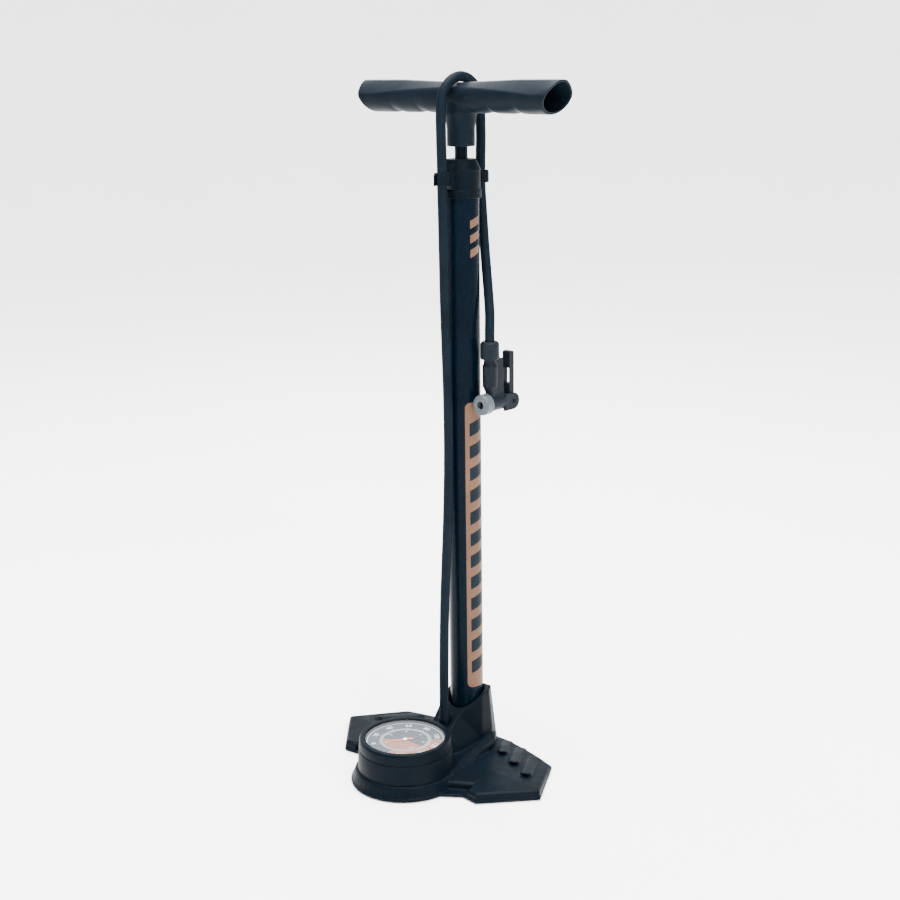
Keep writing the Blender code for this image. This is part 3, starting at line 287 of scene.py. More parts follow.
MOULDED = surface("moulded_black", (0.0007, 0.0022, 0.0040), 0.20, (0.40, 0.54), 2600.0, 0.00006, gloss=0.03)
HEAD_FINISH = surface("head_black", (0.0046, 0.0064, 0.0090), 0.18, (0.30, 0.44), 2600.0, 0.00005, gloss=0.04)
GRIP = surface("grip_black", (0.0022, 0.0046, 0.0074), 0.16, (0.38, 0.50), 3400.0, 0.00007, gloss=0.03)
PAINT = surface("barrel_paint", (0.0004, 0.0026, 0.0056), 0.12, (0.20, 0.30), 420.0, 0.00001, gloss=0.03)
ROD_FINISH = surface("rod_black", (0.0007, 0.0022, 0.0042), 0.12, (0.22, 0.32), 900.0, 0.00001, gloss=0.03)
RUBBER = surface("hose_rubber", (0.0026, 0.0052, 0.0084), 0.18, (0.44, 0.58), 3000.0, 0.00006, gloss=0.025)
SOFT_RUBBER = surface("soft_rubber", (0.0200, 0.0200, 0.0215), 0.20, (0.62, 0.78), 2400.0, 0.00010)
GREY = surface("nozzle_grey", (0.0440, 0.0560, 0.0640), 0.08, (0.34, 0.44), 2600.0, 0.00004, gloss=0.2)
STEEL = surface("turned_steel", (0.5600, 0.5700, 0.5800), 0.05, (0.20, 0.34), 700.0, 0.00002, metallic=1.0)
BRASS = surface("turned_brass", (0.7200, 0.5200, 0.2400), 0.06, (0.24, 0.38), 700.0, 0.00002, metallic=1.0)
WHITE = surface("white_moulding", (0.7000, 0.7000, 0.6800), 0.04, (0.40, 0.50), 1800.0, 0.00004)
COPPER = ink("label_copper", (0.0880, 0.0470, 0.0290), 0.10, (0.30, 0.40), 0.06)
LABEL_INK = ink("label_ink", (0.0050, 0.0080, 0.0110), 0.10, (0.26, 0.34), 0.03)
DIAL_GREY = ink("dial_grey", (0.0240, 0.0290, 0.0350), 0.07, (0.44, 0.54), 0.02)
DIAL_COPPER = ink("dial_copper", (0.1450, 0.0620, 0.0380), 0.08, (0.44, 0.54), 0.02)
DIAL_WHITE = ink("dial_white", (0.3900, 0.4100, 0.4300), 0.03, (0.44, 0.54), 0.02)
NEEDLE_ORANGE = ink("needle_orange", (0.5600, 0.1500, 0.0600), 0.05, (0.34, 0.42), 0.05)


def lens_material():
    made, tree, shader = new_material("clear_lens")
    shader.inputs["Base Color"].default_value = (0.85, 0.90, 0.94, 1.0)
    shader.inputs["Alpha"].default_value = 0.03
    link(tree, spread(tree, noise(tree, 160.0, 6.0), 0.03, 0.09), shader.inputs["Roughness"])
    return made


LENS = lens_material()


# Mesh helpers

def add_mesh(name, bm, material, sharp=SHARP):
    bmesh.ops.recalc_face_normals(bm, faces=bm.faces)
    if bm.calc_volume(signed=True) < 0:
        bmesh.ops.reverse_faces(bm, faces=bm.faces)
    data = bpy.data.meshes.new(name)
    bm.to_mesh(data)
    bm.free()
    data.materials.append(material)
    data.shade_smooth()
    data.set_sharp_from_angle(angle=math.radians(sharp))
    made = bpy.data.objects.new(name, data)
    bpy.context.scene.collection.objects.link(made)
    return made


def attach(piece, body, slot, *nodes):
    """Says which body the piece rides on and which CAD nodes it stands for; its slot is not used."""
    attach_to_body(piece, body)
    if nodes:
        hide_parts(*nodes)
    return piece


def rounded(points, closed=False):
    """Rounds the corners of a profile. A point is (r, z) or (r, z, fillet radius)."""
    result = []
    count = len(points)
    for index, point in enumerate(points):
        here = Vector(point[:2])
        radius = point[2] if len(point) > 2 else 0.0
        at_end = not closed and index in (0, count - 1)
        if radius <= 0.0 or at_end:
            result.append(tuple(here))
            continue
        back = Vector(points[index - 1][:2]) - here
        ahead = Vector(points[(index + 1) % count][:2]) - here
        half = back.angle(ahead) / 2
        cut = min(radius / math.tan(half), back.length * 0.48, ahead.length * 0.48)
        start = here + back.normalized() * cut
        end = here + ahead.normalized() * cut
        for step in range(FILLET_STEPS + 1):
            share = step / FILLET_STEPS
            result.append(tuple(start.lerp(here, share).lerp(here.lerp(end, share), share)))
    return result


def turned(name, profile, material, sides=FINE, closed=False, place=None):
    """Spins a profile of (r, z[, fillet]) points about Z. An open one starts and ends on the axis."""
    bm = bmesh.new()
    corners = [bm.verts.new((r, 0.0, z)) for r, z in rounded(profile, closed)]
    edges = [bm.edges.new(pair) for pair in zip(corners, corners[1:])]
    if closed:
        edges.append(bm.edges.new((corners[-1], corners[0])))
    bmesh.ops.spin(bm, geom=corners + edges, axis=(0, 0, 1), cent=(0, 0, 0),
                   angle=math.tau, steps=sides, use_duplicate=False)
    bmesh.ops.remove_doubles(bm, verts=bm.verts, dist=WELD)
    if place is not None:
        bmesh.ops.transform(bm, matrix=place, verts=bm.verts)
    return add_mesh(name, bm, material)


def at(x=0.0, y=0.0, z=0.0):
    return Matrix.Translation((x, y, z))


def along_y(x, y, z):
    return at(x, y, z) @ Matrix.Rotation(math.radians(-90), 4, "X")


def bridge(bm, loops):
    """Faces from each closed ring of corners to the next."""
    for low, high in zip(loops, loops[1:]):
        for index in range(len(low)):
            following = (index + 1) % len(low)
            bm.faces.new((low[index], low[following], high[following], high[index]))


def lofted(name, rings, material):
    bm = bmesh.new()
    loops = [[bm.verts.new(point) for point in ring] for ring in rings]
    bridge(bm, loops)
    bm.faces.new(loops[0])
    bm.faces.new(loops[-1])
    return add_mesh(name, bm, material)


def plate(name, outline, bottom, top, material):
    """A flat outline in X and Y, made solid from bottom to top."""
    return lofted(name, [[(x, y, z) for x, y in outline] for z in (bottom, top)], material)


def applied(target):
    """Puts the object's modifiers into its mesh."""
    graph = bpy.context.evaluated_depsgraph_get()
    graph.update()
    mesh = bpy.data.meshes.new_from_object(target.evaluated_get(graph))
    target.modifiers.clear()
    target.data = mesh


def combine(target, operation, other):
    modifier = target.modifiers.new("combine", "BOOLEAN")
    modifier.operation = operation
    modifier.solver = "EXACT"
    modifier.object = other
    applied(target)
    bpy.data.objects.remove(other, do_unlink=True)


def join_to(target, other):
    combine(target, "UNION", other)


def cut_from(target, other):
    combine(target, "DIFFERENCE", other)


def moulded(target, voxel, passes, material):
    """Remeshes the solid finely and eases its edges, as a moulding tool does."""
    remesh = target.modifiers.new("remesh", "REMESH")
    remesh.mode = "VOXEL"
    remesh.voxel_size = voxel
    remesh.use_smooth_shade = True
    applied(target)
    ease = target.modifiers.new("ease", "SMOOTH")
    ease.factor = EASE
    ease.iterations = passes
    applied(target)
    target.data.materials.clear()
    target.data.materials.append(material)
    target.data.shade_smooth()


def copy_of(node, name):
    """A free copy of a CAD node's mesh, for remeshing."""
    made = bpy.data.objects.new(name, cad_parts[node].data.copy())
    bpy.context.scene.collection.objects.link(made)
    bm = bmesh.new()
    bm.from_mesh(made.data)
    bmesh.ops.remove_doubles(bm, verts=bm.verts, dist=WELD)
    bm.to_mesh(made.data)
    bm.free()
    return made


def arc(centre, radius, start, end, steps):
    angles = [math.radians(start + (end - start) * step / steps) for step in range(steps + 1)]
    return [(centre[0] + radius * math.cos(a), centre[1] + radius * math.sin(a)) for a in angles]


# Hose

def smooth_route(points, spacing):
    """Evenly spaced points on a smooth curve through the given ones."""
    places = [Vector(point) for point in points]
    places = [2 * places[0] - places[1]] + places + [2 * places[-1] - places[-2]]
    dense = []
    for first, second, third, fourth in zip(places, places[1:], places[2:], places[3:]):
        knots = [0.0]
        for start, end in ((first, second), (second, third), (third, fourth)):
            knots.append(knots[-1] + max((end - start).length, 1e-9) ** 0.5)
        for step in range(CURVE_STEPS):
            here = knots[1] + (knots[2] - knots[1]) * step / CURVE_STEPS
            one = first.lerp(second, (here - knots[0]) / (knots[1] - knots[0]))
            two = second.lerp(third, (here - knots[1]) / (knots[2] - knots[1]))
            three = third.lerp(fourth, (here - knots[2]) / (knots[3] - knots[2]))
            low = one.lerp(two, (here - knots[0]) / (knots[2] - knots[0]))
            high = two.lerp(three, (here - knots[1]) / (knots[3] - knots[1]))
            dense.append(low.lerp(high, (here - knots[1]) / (knots[2] - knots[1])))
    dense.append(places[-2])
    travelled = [0.0]
    for start, end in zip(dense, dense[1:]):
        travelled.append(travelled[-1] + (end - start).length)
    count = max(2, round(travelled[-1] / spacing))
    even = []
    index = 0
    for step in range(count + 1):
        wanted = travelled[-1] * step / count
        while index < len(dense) - 2 and travelled[index + 1] < wanted:
            index += 1
        span = travelled[index + 1] - travelled[index]
        even.append(dense[index].lerp(dense[index + 1], min(1.0, (wanted - travelled[index]) / span)))
    return even, travelled[-1]


def swept_tube(name, path, radius, sides, material):
    """A capped tube whose rings keep from twisting along the path."""
    bm = bmesh.new()
    side = Vector((1.0, 0.0, 0.0))
    loops = []
    for index, point in enumerate(path):
        ahead = (path[min(index + 1, len(path) - 1)] - path[max(index - 1, 0)]).normalized()
        side = (side - ahead * side.dot(ahead)).normalized()
        up = ahead.cross(side)
        ring = []
        for step in range(sides):
            angle = math.tau * step / sides
            ring.append(bm.verts.new(point + radius * (math.cos(angle) * side + math.sin(angle) * up)))
        loops.append(ring)
    bridge(bm, loops)
    bm.faces.new(loops[0])
    bm.faces.new(loops[-1])
    return add_mesh(name, bm, material, THIN_SHARP)


def hose(head_pieces):
    over = [(0.0, y, z) for y, z in arc((0.0, LOOP_CENTRE_Z), LOOP_RADIUS, 180, 0, 8)]
    path, length = smooth_route(HOSE_UP + over + HOSE_DOWN, HOSE_STEP)
    made = swept_tube("hose", path, HOSE_RADIUS, HOSE_SIDES, RUBBER)
    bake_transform(made)
    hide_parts("hose_lower", "hose_loop", "hose_drop")


# Base

def scoop(side, x, y, deck):
    """The dark mouth under a tread's front end, as a rounded slot running into the tread."""
    outline = arc((0.0, 0.0), 1.0, 0, 360, SCOOP_SIDES)[:-1]
    rings = []
    for run, half, rise in SCOOP_RINGS:
        ring = []
        for across, up in outline:
            along = TREAD_DIRECTION * run
            aside = TREAD_ACROSS * (half * across)
            ring.append((side * (x + along.x + aside.x), y + along.y + aside.y, deck + rise * up))
        rings.append(ring)
    return lofted("scoop", rings, MOULDED)


def base():
    casting = copy_of("base_casting", "base_shell")
    for side in (-1, 1):
        for x, y, deck in TREAD_FRONTS:
            cut_from(casting, scoop(side, x, y, deck))
    moulded(casting, BASE_VOXEL, 4, MOULDED)
    attach(casting, "root", "black_plastic", "base_casting")


def barrel():
    low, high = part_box("barrel")
    radius = high.x
    bore = radius - BARREL_WALL
    profile = [(bore, low.z), (radius, low.z, 0.0003), (radius, high.z, 0.0003), (bore, high.z)]
    tube = turned("barrel_tube", profile, PAINT, FINE, closed=True)
    attach(tube, "root", "black_paint", "barrel")
    for turn in (0.0, math.pi):
        label(radius, turn)


def wrapped(name, radius, rows, material, turn):
    """A skin on the barrel made of rows (height, first angle, last angle), closed into a thin solid."""
    bm = bmesh.new()
    sheets = []
    for level in (radius + SKIN_FOOT, radius + SKIN):
        grid = []
        for height, first, last in rows:
            line = []
            for step in range(WRAP_COLUMNS + 1):
                angle = turn + first + (last - first) * step / WRAP_COLUMNS
                line.append(bm.verts.new((level * math.cos(angle), level * math.sin(angle), height)))
            grid.append(line)
        sheets.append(grid)
    for grid in sheets:
        for low, high in zip(grid, grid[1:]):
            for index in range(WRAP_COLUMNS):
                bm.faces.new((low[index], low[index + 1], high[index + 1], high[index]))
    inner, outer = sheets
    edges = [
        ([line[0] for line in inner], [line[0] for line in outer]),
        ([line[-1] for line in inner], [line[-1] for line in outer]),
        (inner[0], outer[0]),
        (inner[-1], outer[-1]),
    ]
    for near, far in edges:
        for index in range(len(near) - 1):
            bm.faces.new((near[index], near[index + 1], far[index + 1], far[index]))
    attach(add_mesh(name, bm, material, THIN_SHARP), "root", "black_paint")


def label_rows(radius, low, high, half_angle, corner):
    """Rows of a sheet with rounded corners."""
    rows = []
    steps = 8
    for step in range(steps + 1):
        turn = math.pi / 2 * step / steps
        inset = corner / radius * (1 - math.cos(turn))
        rows.append((low + corner * (1 - math.sin(turn)), half_angle - inset))
    lower = [(z, -a, a) for z, a in sorted(rows)]
    upper = [(low + high - z, -a, a) for z, _, a in reversed(lower)]
    return lower + upper


def label(radius, turn):
    """A copper sheet with a generic pattern of slanted bars, and a small mark of three bars above."""
    side = "right" if turn == 0.0 else "left"
    low, high = LABEL_Z
    rows = label_rows(radius, low, high, LABEL_HALF_ANGLE, LABEL_CORNER)
    wrapped(f"label_{side}", radius, rows, COPPER, turn)
    count = int((high - low - 2 * LABEL_CORNER) / LABEL_PITCH)
    start = (low + high - count * LABEL_PITCH) / 2
    for index in range(count):
        foot = start + index * LABEL_PITCH + (LABEL_PITCH - LABEL_BAR) / 2
        slanted_bar(f"label_bar_{side}_{index}", radius + SKIN, foot, LABEL_BAR, LABEL_SLANT,
                    LABEL_BAR_HALF_ANGLE, LABEL_INK, turn)
    mark_low, mark_high = MARK_Z
    pitch = (mark_high - mark_low) / MARK_BARS
    for index in range(MARK_BARS):
        foot = mark_low + index * pitch
        slanted_bar(f"mark_bar_{side}_{index}", radius, foot, pitch * MARK_SHARE, MARK_SLANT,
                    MARK_HALF_ANGLE, COPPER, turn)


def slanted_bar(name, radius, foot, height, slant, half_angle, material, turn):
    bm = bmesh.new()
    rings = []
    for level in (radius + SKIN_FOOT, radius + SKIN):
        line = []
        for edge in (0.0, height):
            line.append([])
            for step in range(BAR_COLUMNS + 1):
                share = 2.0 * step / BAR_COLUMNS - 1.0
                angle = turn + half_angle * share
                rise = foot + edge + slant * share / 2
                line[-1].append(bm.verts.new((level * math.cos(angle), level * math.sin(angle), rise)))
        rings.append(line)
    (a_low, a_high), (b_low, b_high) = rings
    for step in range(BAR_COLUMNS):
        bm.faces.new((a_low[step], a_low[step + 1], a_high[step + 1], a_high[step]))
        bm.faces.new((b_low[step], b_low[step + 1], b_high[step + 1], b_high[step]))
        bm.faces.new((a_low[step], a_low[step + 1], b_low[step + 1], b_low[step]))
        bm.faces.new((a_high[step], a_high[step + 1], b_high[step + 1], b_high[step]))
    for step in (0, BAR_COLUMNS):
        bm.faces.new((a_low[step], a_high[step], b_high[step], b_low[step]))
    attach(add_mesh(name, bm, material, THIN_SHARP), "root", "black_paint")


# Cap and handle

def cap():
    shell = copy_of("barrel_cap", "cap_shell")
    moulded(shell, CAP_VOXEL, 3, MOULDED)
    attach(shell, "root", "black_plastic", "barrel_cap")


def rod():
    low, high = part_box("piston_rod")
    profile = [(0.0, low.z), (high.x, low.z, 0.0006), (high.x, high.z, 0.0006), (0.0, high.z)]
    attach(turned("rod_bar", profile, ROD_FINISH, SMALL), "piston", "black_paint", "piston_rod")


def grip_ring(x, shrink=0.0):
    """The grip's outline at x: a full underside, and a flat facet above a crease that drops outwards."""
    share = min(1.0, abs(x) / GRIP_HALF)
    depth = GRIP_DEPTH + GRIP_DEPTH_GAIN * share ** 1.5 - shrink
    top = GRIP_TOP + GRIP_TOP_GAIN * min(1.0, share * 1.6) - shrink
    bottom = GRIP_BOTTOM + GRIP_BOTTOM_GAIN * share - shrink
    for place in FINGER_DENTS:
        dent = max(0.0, 1.0 - abs(abs(x) - place) / DENT_REACH)
        bottom -= DENT_DEPTH * dent * dent * (3 - 2 * dent)
    crease = math.radians(CREASE_ANGLE - CREASE_DROP * min(1.0, share * 1.15))
    crest = math.radians(CREST_ANGLE)
    flat = FACET * (1.0 - 0.45 * share ** 10)
    foot_edge = (depth * math.cos(crease), top * math.sin(crease))
    head_edge = (depth * math.cos(crest), top * math.sin(crest))
    outward = math.copysign(GRIP_LEAN * share ** 4, x)
    ring = []
    for step in range(GRIP_SIDES):
        angle = math.tau * step / GRIP_SIDES
        run = depth * math.cos(angle)
        height = (top if math.sin(angle) > 0 else bottom) * math.sin(angle)
        turn = angle if angle <= math.pi / 2 else math.pi - angle
        if crease < turn < crest:
            part = (turn - crease) / (crest - crease)
            flat_run = foot_edge[0] + (head_edge[0] - foot_edge[0]) * part
            flat_height = foot_edge[1] + (head_edge[1] - foot_edge[1]) * part
            run += (math.copysign(flat_run, run) - run) * flat
            height += (flat_height - height) * flat
        ring.append((x + outward * height, run, GRIP_Z + height))
    return ring


def handle():
    stations = [GRIP_HALF * (2 * step / GRIP_STEPS - 1) for step in range(GRIP_STEPS + 1)]
    grip = lofted("handle_grip", [grip_ring(x) for x in stations], GRIP)
    low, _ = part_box("handle")
    stem = [(0.0, low.z), (STEM_RADIUS, low.z, 0.0008), (STEM_RADIUS, 0.6600, 0.02), (0.0152, 0.6700, 0.01),
            (0.0164, 0.6745), (0.0160, 0.6850), (0.0, 0.6860)]
    join_to(grip, turned("stem", stem, GRIP, SMALL))
    for side in (-1, 1):
        ends = [grip_ring(side * x, GRIP_WALL) for x in HOLLOW_X]
        cut_from(grip, lofted("hollow", ends, GRIP))
    floor, roof = SOCKET_Z
    socket = [(0.0, floor), (SOCKET_RADIUS, floor), (SOCKET_RADIUS, roof), (0.0, roof)]
    cut_from(grip, turned("socket", socket, GRIP, SMALL))
    moulded(grip, HANDLE_VOXEL, 3, GRIP)
    attach(grip, "handle", "black_plastic", "handle")


# Gauge

def gauge_can():
    low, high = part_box("gauge_housing")
    floor = low.z + CAN_FLOOR
    housing = [(0.0, low.z), (high.x, low.z, 0.0004), (CAN_TOP_RADIUS, high.z, 0.0005), (CAN_BORE, high.z),
               (CAN_BORE, floor), (0.0, floor)]
    can = turned("gauge_can", housing, MOULDED, FINE, place=at(0.0, GAUGE_Y))
    attach(can, "root", "black_plastic", "gauge_housing")


def gauge_rim():
    low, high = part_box("gauge_bezel")
    bezel = [(BEZEL_SEAT, low.z), (CAN_TOP_RADIUS - 0.0003, low.z, 0.0004), (0.0478, high.z - 0.0022, 0.0016),
             (0.0466, high.z, 0.0010), (WINDOW + 0.0006, high.z, 0.0006), (WINDOW, high.z - 0.0009, 0.0004),
             (WINDOW, GLASS_SEAT_Z), (BEZEL_SEAT, GLASS_SEAT_Z)]
    rim = turned("gauge_rim", bezel, MOULDED, FINE, closed=True, place=at(0.0, GAUGE_Y))
    attach(rim, "root", "black_plastic", "gauge_bezel")


def gauge_glass():
    low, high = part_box("gauge_lens")
    lens = [(0.0, low.z), (high.x, low.z), (high.x, high.z, 0.0003), (0.0, high.z)]
    glass = turned("gauge_glass", lens, LENS, FINE, place=at(0.0, GAUGE_Y))
    attach(glass, "root", "clear_plastic", "gauge_lens")


def sector_sheet(name, inner, outer, start, end, level, material):
    """A flat ring or part of one on the dial, from start to end in degrees clockwise from +Y."""
    steps = max(8, int(abs(end - start) / 3))
    bm = bmesh.new()
    grids = []
    for height in (level, level + PRINT_DEPTH):
        grid = []
        for step in range(steps + 1):
            turn = math.radians(90.0 - (start + (end - start) * step / steps))
            direction = Vector((math.cos(turn), math.sin(turn), 0.0))
            centre = Vector((0.0, GAUGE_Y, height))
            grid.append([bm.verts.new(centre + direction * radius) for radius in (inner, outer)])
        grids.append(grid)
    low, high = grids
    for step in range(steps):
        bm.faces.new((low[step][0], low[step][1], low[step + 1][1], low[step + 1][0]))
        bm.faces.new((high[step][0], high[step][1], high[step + 1][1], high[step + 1][0]))
        bm.faces.new((low[step][0], low[step + 1][0], high[step + 1][0], high[step][0]))
        bm.faces.new((low[step][1], low[step + 1][1], high[step + 1][1], high[step][1]))
    if abs(end - start) < 360.0:
        for step in (0, steps):
            bm.faces.new((low[step][0], low[step][1], high[step][1], high[step][0]))
    else:
        bmesh.ops.remove_doubles(bm, verts=bm.verts, dist=1e-7)
    attach(add_mesh(name, bm, material, THIN_SHARP), "root", "dial_print")


def dial_angle(share):
    return DIAL_ZERO - DIAL_SWEEP * share


def joined(name, pieces, material):
    """Makes one object of several."""
    bm = bmesh.new()
    for piece in pieces:
        part = bpy.data.meshes.new_from_object(piece)
        part.transform(piece.matrix_world)
        bm.from_mesh(part)
        bpy.data.objects.remove(piece, do_unlink=True)
    return add_mesh(name, bm, material, THIN_SHARP)


def tick(inner, outer, width, share, level):
    angle = dial_angle(share)
    outline = [(inner, -width / 2), (outer, -width / 2), (outer, width / 2), (inner, width / 2)]
    bar = plate("tick", outline, 0.0, PRINT_DEPTH, DIAL_WHITE)
    bar.matrix_world = at(0.0, GAUGE_Y, level) @ Matrix.Rotation(angle, 4, "Z")
    return bar


def numeral(value, radius, height, share, level):
    data = bpy.data.curves.new("numeral", "FONT")
    data.body = str(value)
    data.size = height
    data.align_x = "CENTER"
    data.align_y = "CENTER"
    data.extrude = PRINT_DEPTH / 2
    data.resolution_u = 3
    made = bpy.data.objects.new("numeral", data)
    bpy.context.scene.collection.objects.link(made)
    angle = dial_angle(share)
    place = at(radius * math.cos(angle), GAUGE_Y + radius * math.sin(angle), level)
    made.matrix_world = place @ Matrix.Rotation(angle - math.pi / 2, 4, "Z")
    return made


def dial_marks(level):
    marks = []
    count = SCALE_END // TICK_VALUE
    for index in range(count + 1):
        inner, outer, width = MINOR_TICK if index % TICKS_TO_MAJOR else MAJOR_TICK
        marks.append(tick(inner, outer, width, index / count, level))
    for index in range(INNER_END + 1):
        marks.append(tick(*INNER_TICK, index / INNER_END, level))
    for value in range(0, SCALE_END + 1, SCALE_STEP):
        marks.append(numeral(value, *NUMERAL, value / SCALE_END, level + NUMERAL_LIFT))
    for value in range(0, INNER_END, INNER_STEP):
        marks.append(numeral(value, *INNER_NUMERAL, value / INNER_END, level + NUMERAL_LIFT))
    bpy.context.view_layer.update()
    attach(joined("dial_marks", marks, DIAL_WHITE), "root", "dial_print")


def dial():
    """A grey face with two copper areas, white rings and two generic scales."""
    low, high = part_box("gauge_dial")
    disc = [(DIAL_HOLE, low.z), (high.x, low.z), (high.x, high.z), (DIAL_HOLE, high.z)]
    face = turned("dial_face", disc, DIAL_GREY, FINE, closed=True, place=at(0.0, GAUGE_Y))
    attach(face, "root", "dial_print", "gauge_dial")
    lower = high.z + LOWER_PRINT
    upper = high.z + UPPER_PRINT
    sector_sheet("dial_warm_band", *WARM_BAND, lower, DIAL_COPPER)
    sector_sheet("dial_warm_centre", *WARM_CENTRE, lower, DIAL_COPPER)
    for index, (inner, outer) in enumerate(DIAL_RINGS):
        sector_sheet(f"dial_ring_{index}", inner, outer, 0.0, 360.0, upper, DIAL_WHITE)
    bpy.context.view_layer.update()
    dial_marks(upper)


def needle():
    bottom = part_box("needle")[0].z
    outline = [(NEEDLE_LENGTH, -0.0002), (NEEDLE_LENGTH, 0.0002), (0.0020, 0.0009),
               (-NEEDLE_TAIL, 0.0011), (-NEEDLE_TAIL, -0.0011), (0.0020, -0.0009)]
    pointer = plate("pointer", outline, bottom, bottom + 0.0006, NEEDLE_ORANGE)
    pointer.matrix_world = at(0.0, GAUGE_Y) @ Matrix.Rotation(DIAL_ZERO, 4, "Z")
    edge = pointer.modifiers.new("edge", "BEVEL")
    edge.width = 0.00012
    edge.segments = 2
    attach(pointer, "needle", "orange_paint", "needle")
    foot = bottom + 0.0004
    hub = [(0.0, foot), (0.0021, foot), (0.0021, bottom + 0.0010, 0.0004), (0.0, bottom + 0.0012)]
    attach(turned("needle_hub", hub, WHITE, SMALL, place=at(0.0, GAUGE_Y)), "needle", "orange_paint")


# Pump head

def head_collar():
    low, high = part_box("hose_nut")
    nut = [(0.0076, low.z), (0.0092, low.z, 0.0004), (0.0097, low.z + 0.0016, 0.0006),
           (0.0096, high.z - 0.0022, 0.0014), (0.0079, high.z, 0.0008), (HOSE_HOLE, high.z),
           (HOSE_HOLE, HOSE_END_Z), (0.0076, HOSE_END_Z)]
    collar = turned("head_collar", nut, HEAD_FINISH, SMALL, closed=True, place=at(HEAD_X, NECK_Y))
    return attach(collar, "root", "black_plastic", "hose_nut")


def head_shell():
    shell = copy_of("head_body", "head_shell")
    moulded(shell, HEAD_VOXEL, 3, HEAD_FINISH)
    return attach(shell, "root", "black_plastic", "head_body")


def nozzle_ring():
    low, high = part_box("nozzle_cap")
    reach = high.y - low.y
    radius = (high.x - low.x) / 2
    groove = radius - 0.0004
    profile = [(NOZZLE_BORE, 0.0, 0.0004), (0.0068, 0.0, 0.0003), (0.0070, 0.0006, 0.0003),
               (0.0094, 0.0006, 0.0012), (radius, 0.0022, 0.0010), (radius, reach - 0.0036, 0.0002),
               (groove, reach - 0.0034, 0.0001), (groove, reach - 0.0028, 0.0001),
               (radius, reach - 0.0026, 0.0002), (radius, reach, 0.0005),
               (NOZZLE_INSIDE, reach), (NOZZLE_INSIDE, 0.0022), (NOZZLE_BORE, 0.0022)]
    ring = turned("nozzle_ring", profile, GREY, SMALL, closed=True, place=along_y(HEAD_X, low.y, NOZZLE_Z))
    return attach(ring, "nozzle_cap", "grey_plastic", "nozzle_cap")


def lever_arm():
    arm = copy_of("lever", "lever_arm")
    moulded(arm, LEVER_VOXEL, 2, HEAD_FINISH)
    return attach(arm, "lever", "black_plastic", "lever")


def hose_socket():
    low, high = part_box("hose_gland")
    seat = [(GLAND_BORE, low.z), (0.0064, low.z), (0.0064, high.z - 0.0012, 0.0010), (0.0058, high.z, 0.0004),
            (HOSE_HOLE, high.z), (HOSE_HOLE, GLAND_FLOOR_Z), (GLAND_BORE, GLAND_FLOOR_Z)]
    socket = turned("hose_socket", seat, MOULDED, SMALL, closed=True, place=at(0.0, GLAND_Y))
    return attach(socket, "root", "black_plastic", "hose_gland")


def head():
    """Returns the pieces at the hose's two ends."""
    made = [head_collar(), head_shell(), nozzle_ring(), lever_arm(), hose_socket()]
    return made + [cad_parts[name] for name in ("nozzle_gasket", "nozzle_plunger", "lever_pin")]


# Foot valve

def foot_spring():
    """The valve spring in steel; it stays put on the root."""
    coil = copy_of("valve_spring", "spring_coil")
    coil.data.materials.clear()
    coil.data.materials.append(STEEL)
    coil.data.shade_smooth()
    attach(coil, "root", "steel", "valve_spring")
    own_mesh(coil)


# Nodes that keep their CAD shape

def paint_nodes():
    finishes = {
        SOFT_RUBBER: ("foot_pad_rear_left", "foot_pad_rear_right", "foot_pad_side_left",
                      "foot_pad_side_right", "foot_pad_front", "foot_pad_centre", "foot_o_ring",
                      "valve_disc", "piston_cup", "rod_bumper", "lens_seal", "nozzle_gasket"),
        STEEL: ("piston_nut",),
        ROD_FINISH: ("lever_pin",),
        BRASS: ("handle_insert", "movement_plate", "needle_shaft", "sector_gear", "gauge_inlet",
                "bourdon_tube"),
        WHITE: ("foot_plug", "piston", "rod_bush", "nozzle_plunger"),
    }
    for finish, names in finishes.items():
        for name in names:
            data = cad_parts[name].data
            data.materials.clear()
            data.materials.append(finish)


# Studio

def studio_floor():
    """A pale floor that curves up into a wall all round."""
    bm = bmesh.new()
    loops = []
    for radius, height in FLOOR_RINGS:
        ring = []
        for step in range(FLOOR_SIDES):
            angle = math.tau * step / FLOOR_SIDES
            ring.append(bm.verts.new((radius * math.cos(angle), radius * math.sin(angle), height)))
        loops.append(ring)
    bm.faces.new(loops[0])
    bridge(bm, loops)
    bmesh.ops.recalc_face_normals(bm, faces=bm.faces)
    bm.faces.ensure_lookup_table()
    if bm.faces[0].normal.z < 0:
        bmesh.ops.reverse_faces(bm, faces=bm.faces)
    data = bpy.data.meshes.new("floor")
    bm.to_mesh(data)
    bm.free()
    data.shade_smooth()
    ground = bpy.data.objects.new("floor", data)
    bpy.context.scene.collection.objects.link(ground)
    made, tree, shader = new_material("studio_floor")
    shader.inputs["Roughness"].default_value = 0.9
    shader.inputs["Specular IOR Level"].default_value = 0.1
    colour = two_tone(tree, noise(tree, 3.0), (0.90, 0.90, 0.90), (0.92, 0.92, 0.92))
    link(tree, colour, shader.inputs["Base Color"])
    data.materials.append(made)


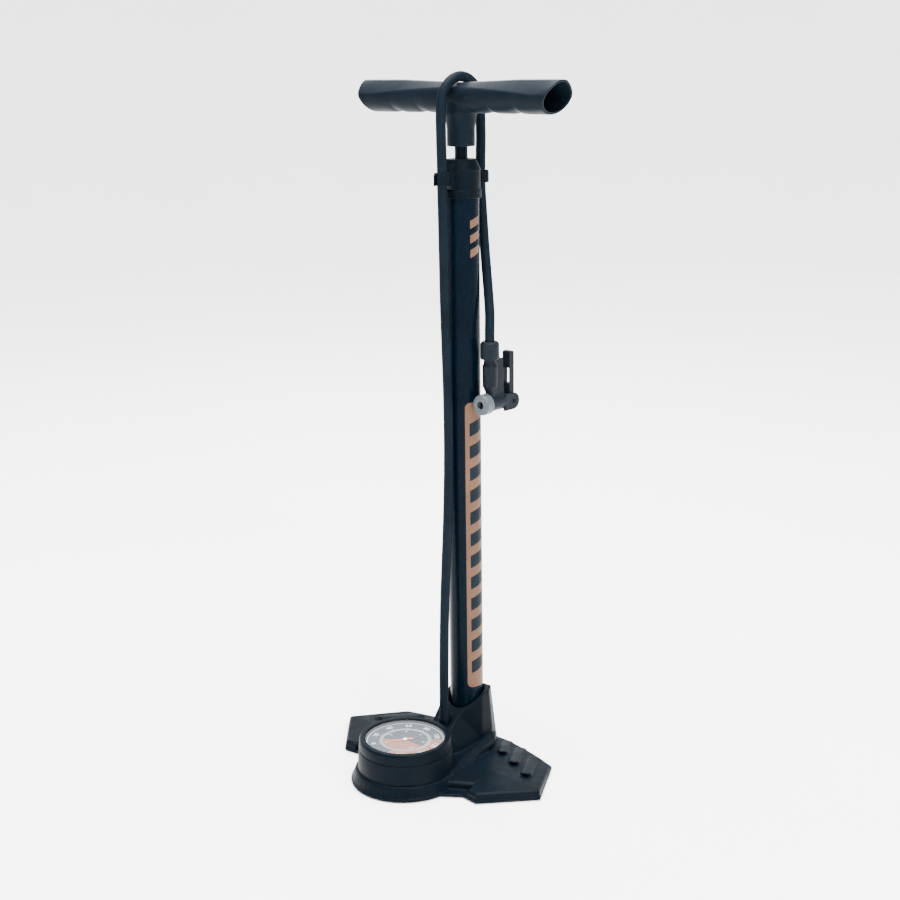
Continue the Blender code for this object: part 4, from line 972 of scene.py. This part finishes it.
def studio_sky():
    """Dim at the horizon and bright overhead."""
    world = bpy.data.worlds.new("studio")
    world.use_nodes = True
    tree = world.node_tree
    direction = tree.nodes.new("ShaderNodeTexCoord")
    split = tree.nodes.new("ShaderNodeSeparateXYZ")
    ramp = tree.nodes.new("ShaderNodeValToRGB")
    for element, (position, colour) in zip(ramp.color_ramp.elements, (HORIZON, ZENITH)):
        element.position = position
        element.color = colour
    link(tree, direction.outputs["Generated"], split.inputs["Vector"])
    link(tree, split.outputs["Z"], ramp.inputs["Fac"])
    link(tree, ramp.outputs["Color"], tree.nodes["Background"].inputs["Color"])
    tree.nodes["Background"].inputs["Strength"].default_value = WORLD_STRENGTH
    bpy.context.scene.world = world


def soft_boxes():
    for name, place, size, power in LIGHTS:
        light = bpy.data.lights.new(name, "AREA")
        light.size = size
        light.energy = power
        made = bpy.data.objects.new(name, light)
        bpy.context.scene.collection.objects.link(made)
        made.location = place
        made.rotation_euler = (Vector(LIGHT_AIM) - Vector(place)).to_track_quat("-Z", "Y").to_euler()


def camera():
    heading, pitch, roll = CAMERA_HEADING, CAMERA_PITCH, CAMERA_ROLL
    level = math.cos(pitch)
    forward = Vector((-math.sin(heading) * level, math.cos(heading) * level, -math.sin(pitch)))
    right = Vector((math.cos(heading), math.sin(heading), 0.0))
    up = right.cross(forward)
    tilted_right = right * math.cos(roll) + up * math.sin(roll)
    tilted_up = up * math.cos(roll) - right * math.sin(roll)
    data = bpy.data.cameras.new("camera")
    data.lens = CAMERA_LENS
    data.sensor_width = 36.0
    made = bpy.data.objects.new("camera", data)
    bpy.context.scene.collection.objects.link(made)
    turn = Matrix((tilted_right, tilted_up, -forward)).transposed().to_4x4()
    made.matrix_world = Matrix.Translation(CAMERA_PLACE) @ turn
    bpy.context.scene.camera = made


camera()
studio_floor()
studio_sky()
soft_boxes()
paint_nodes()
hose(head())
base()
barrel()
cap()
rod()
handle()
gauge_can()
gauge_rim()
gauge_glass()
dial()
needle()
foot_spring()

bpy.context.view_layer.update()
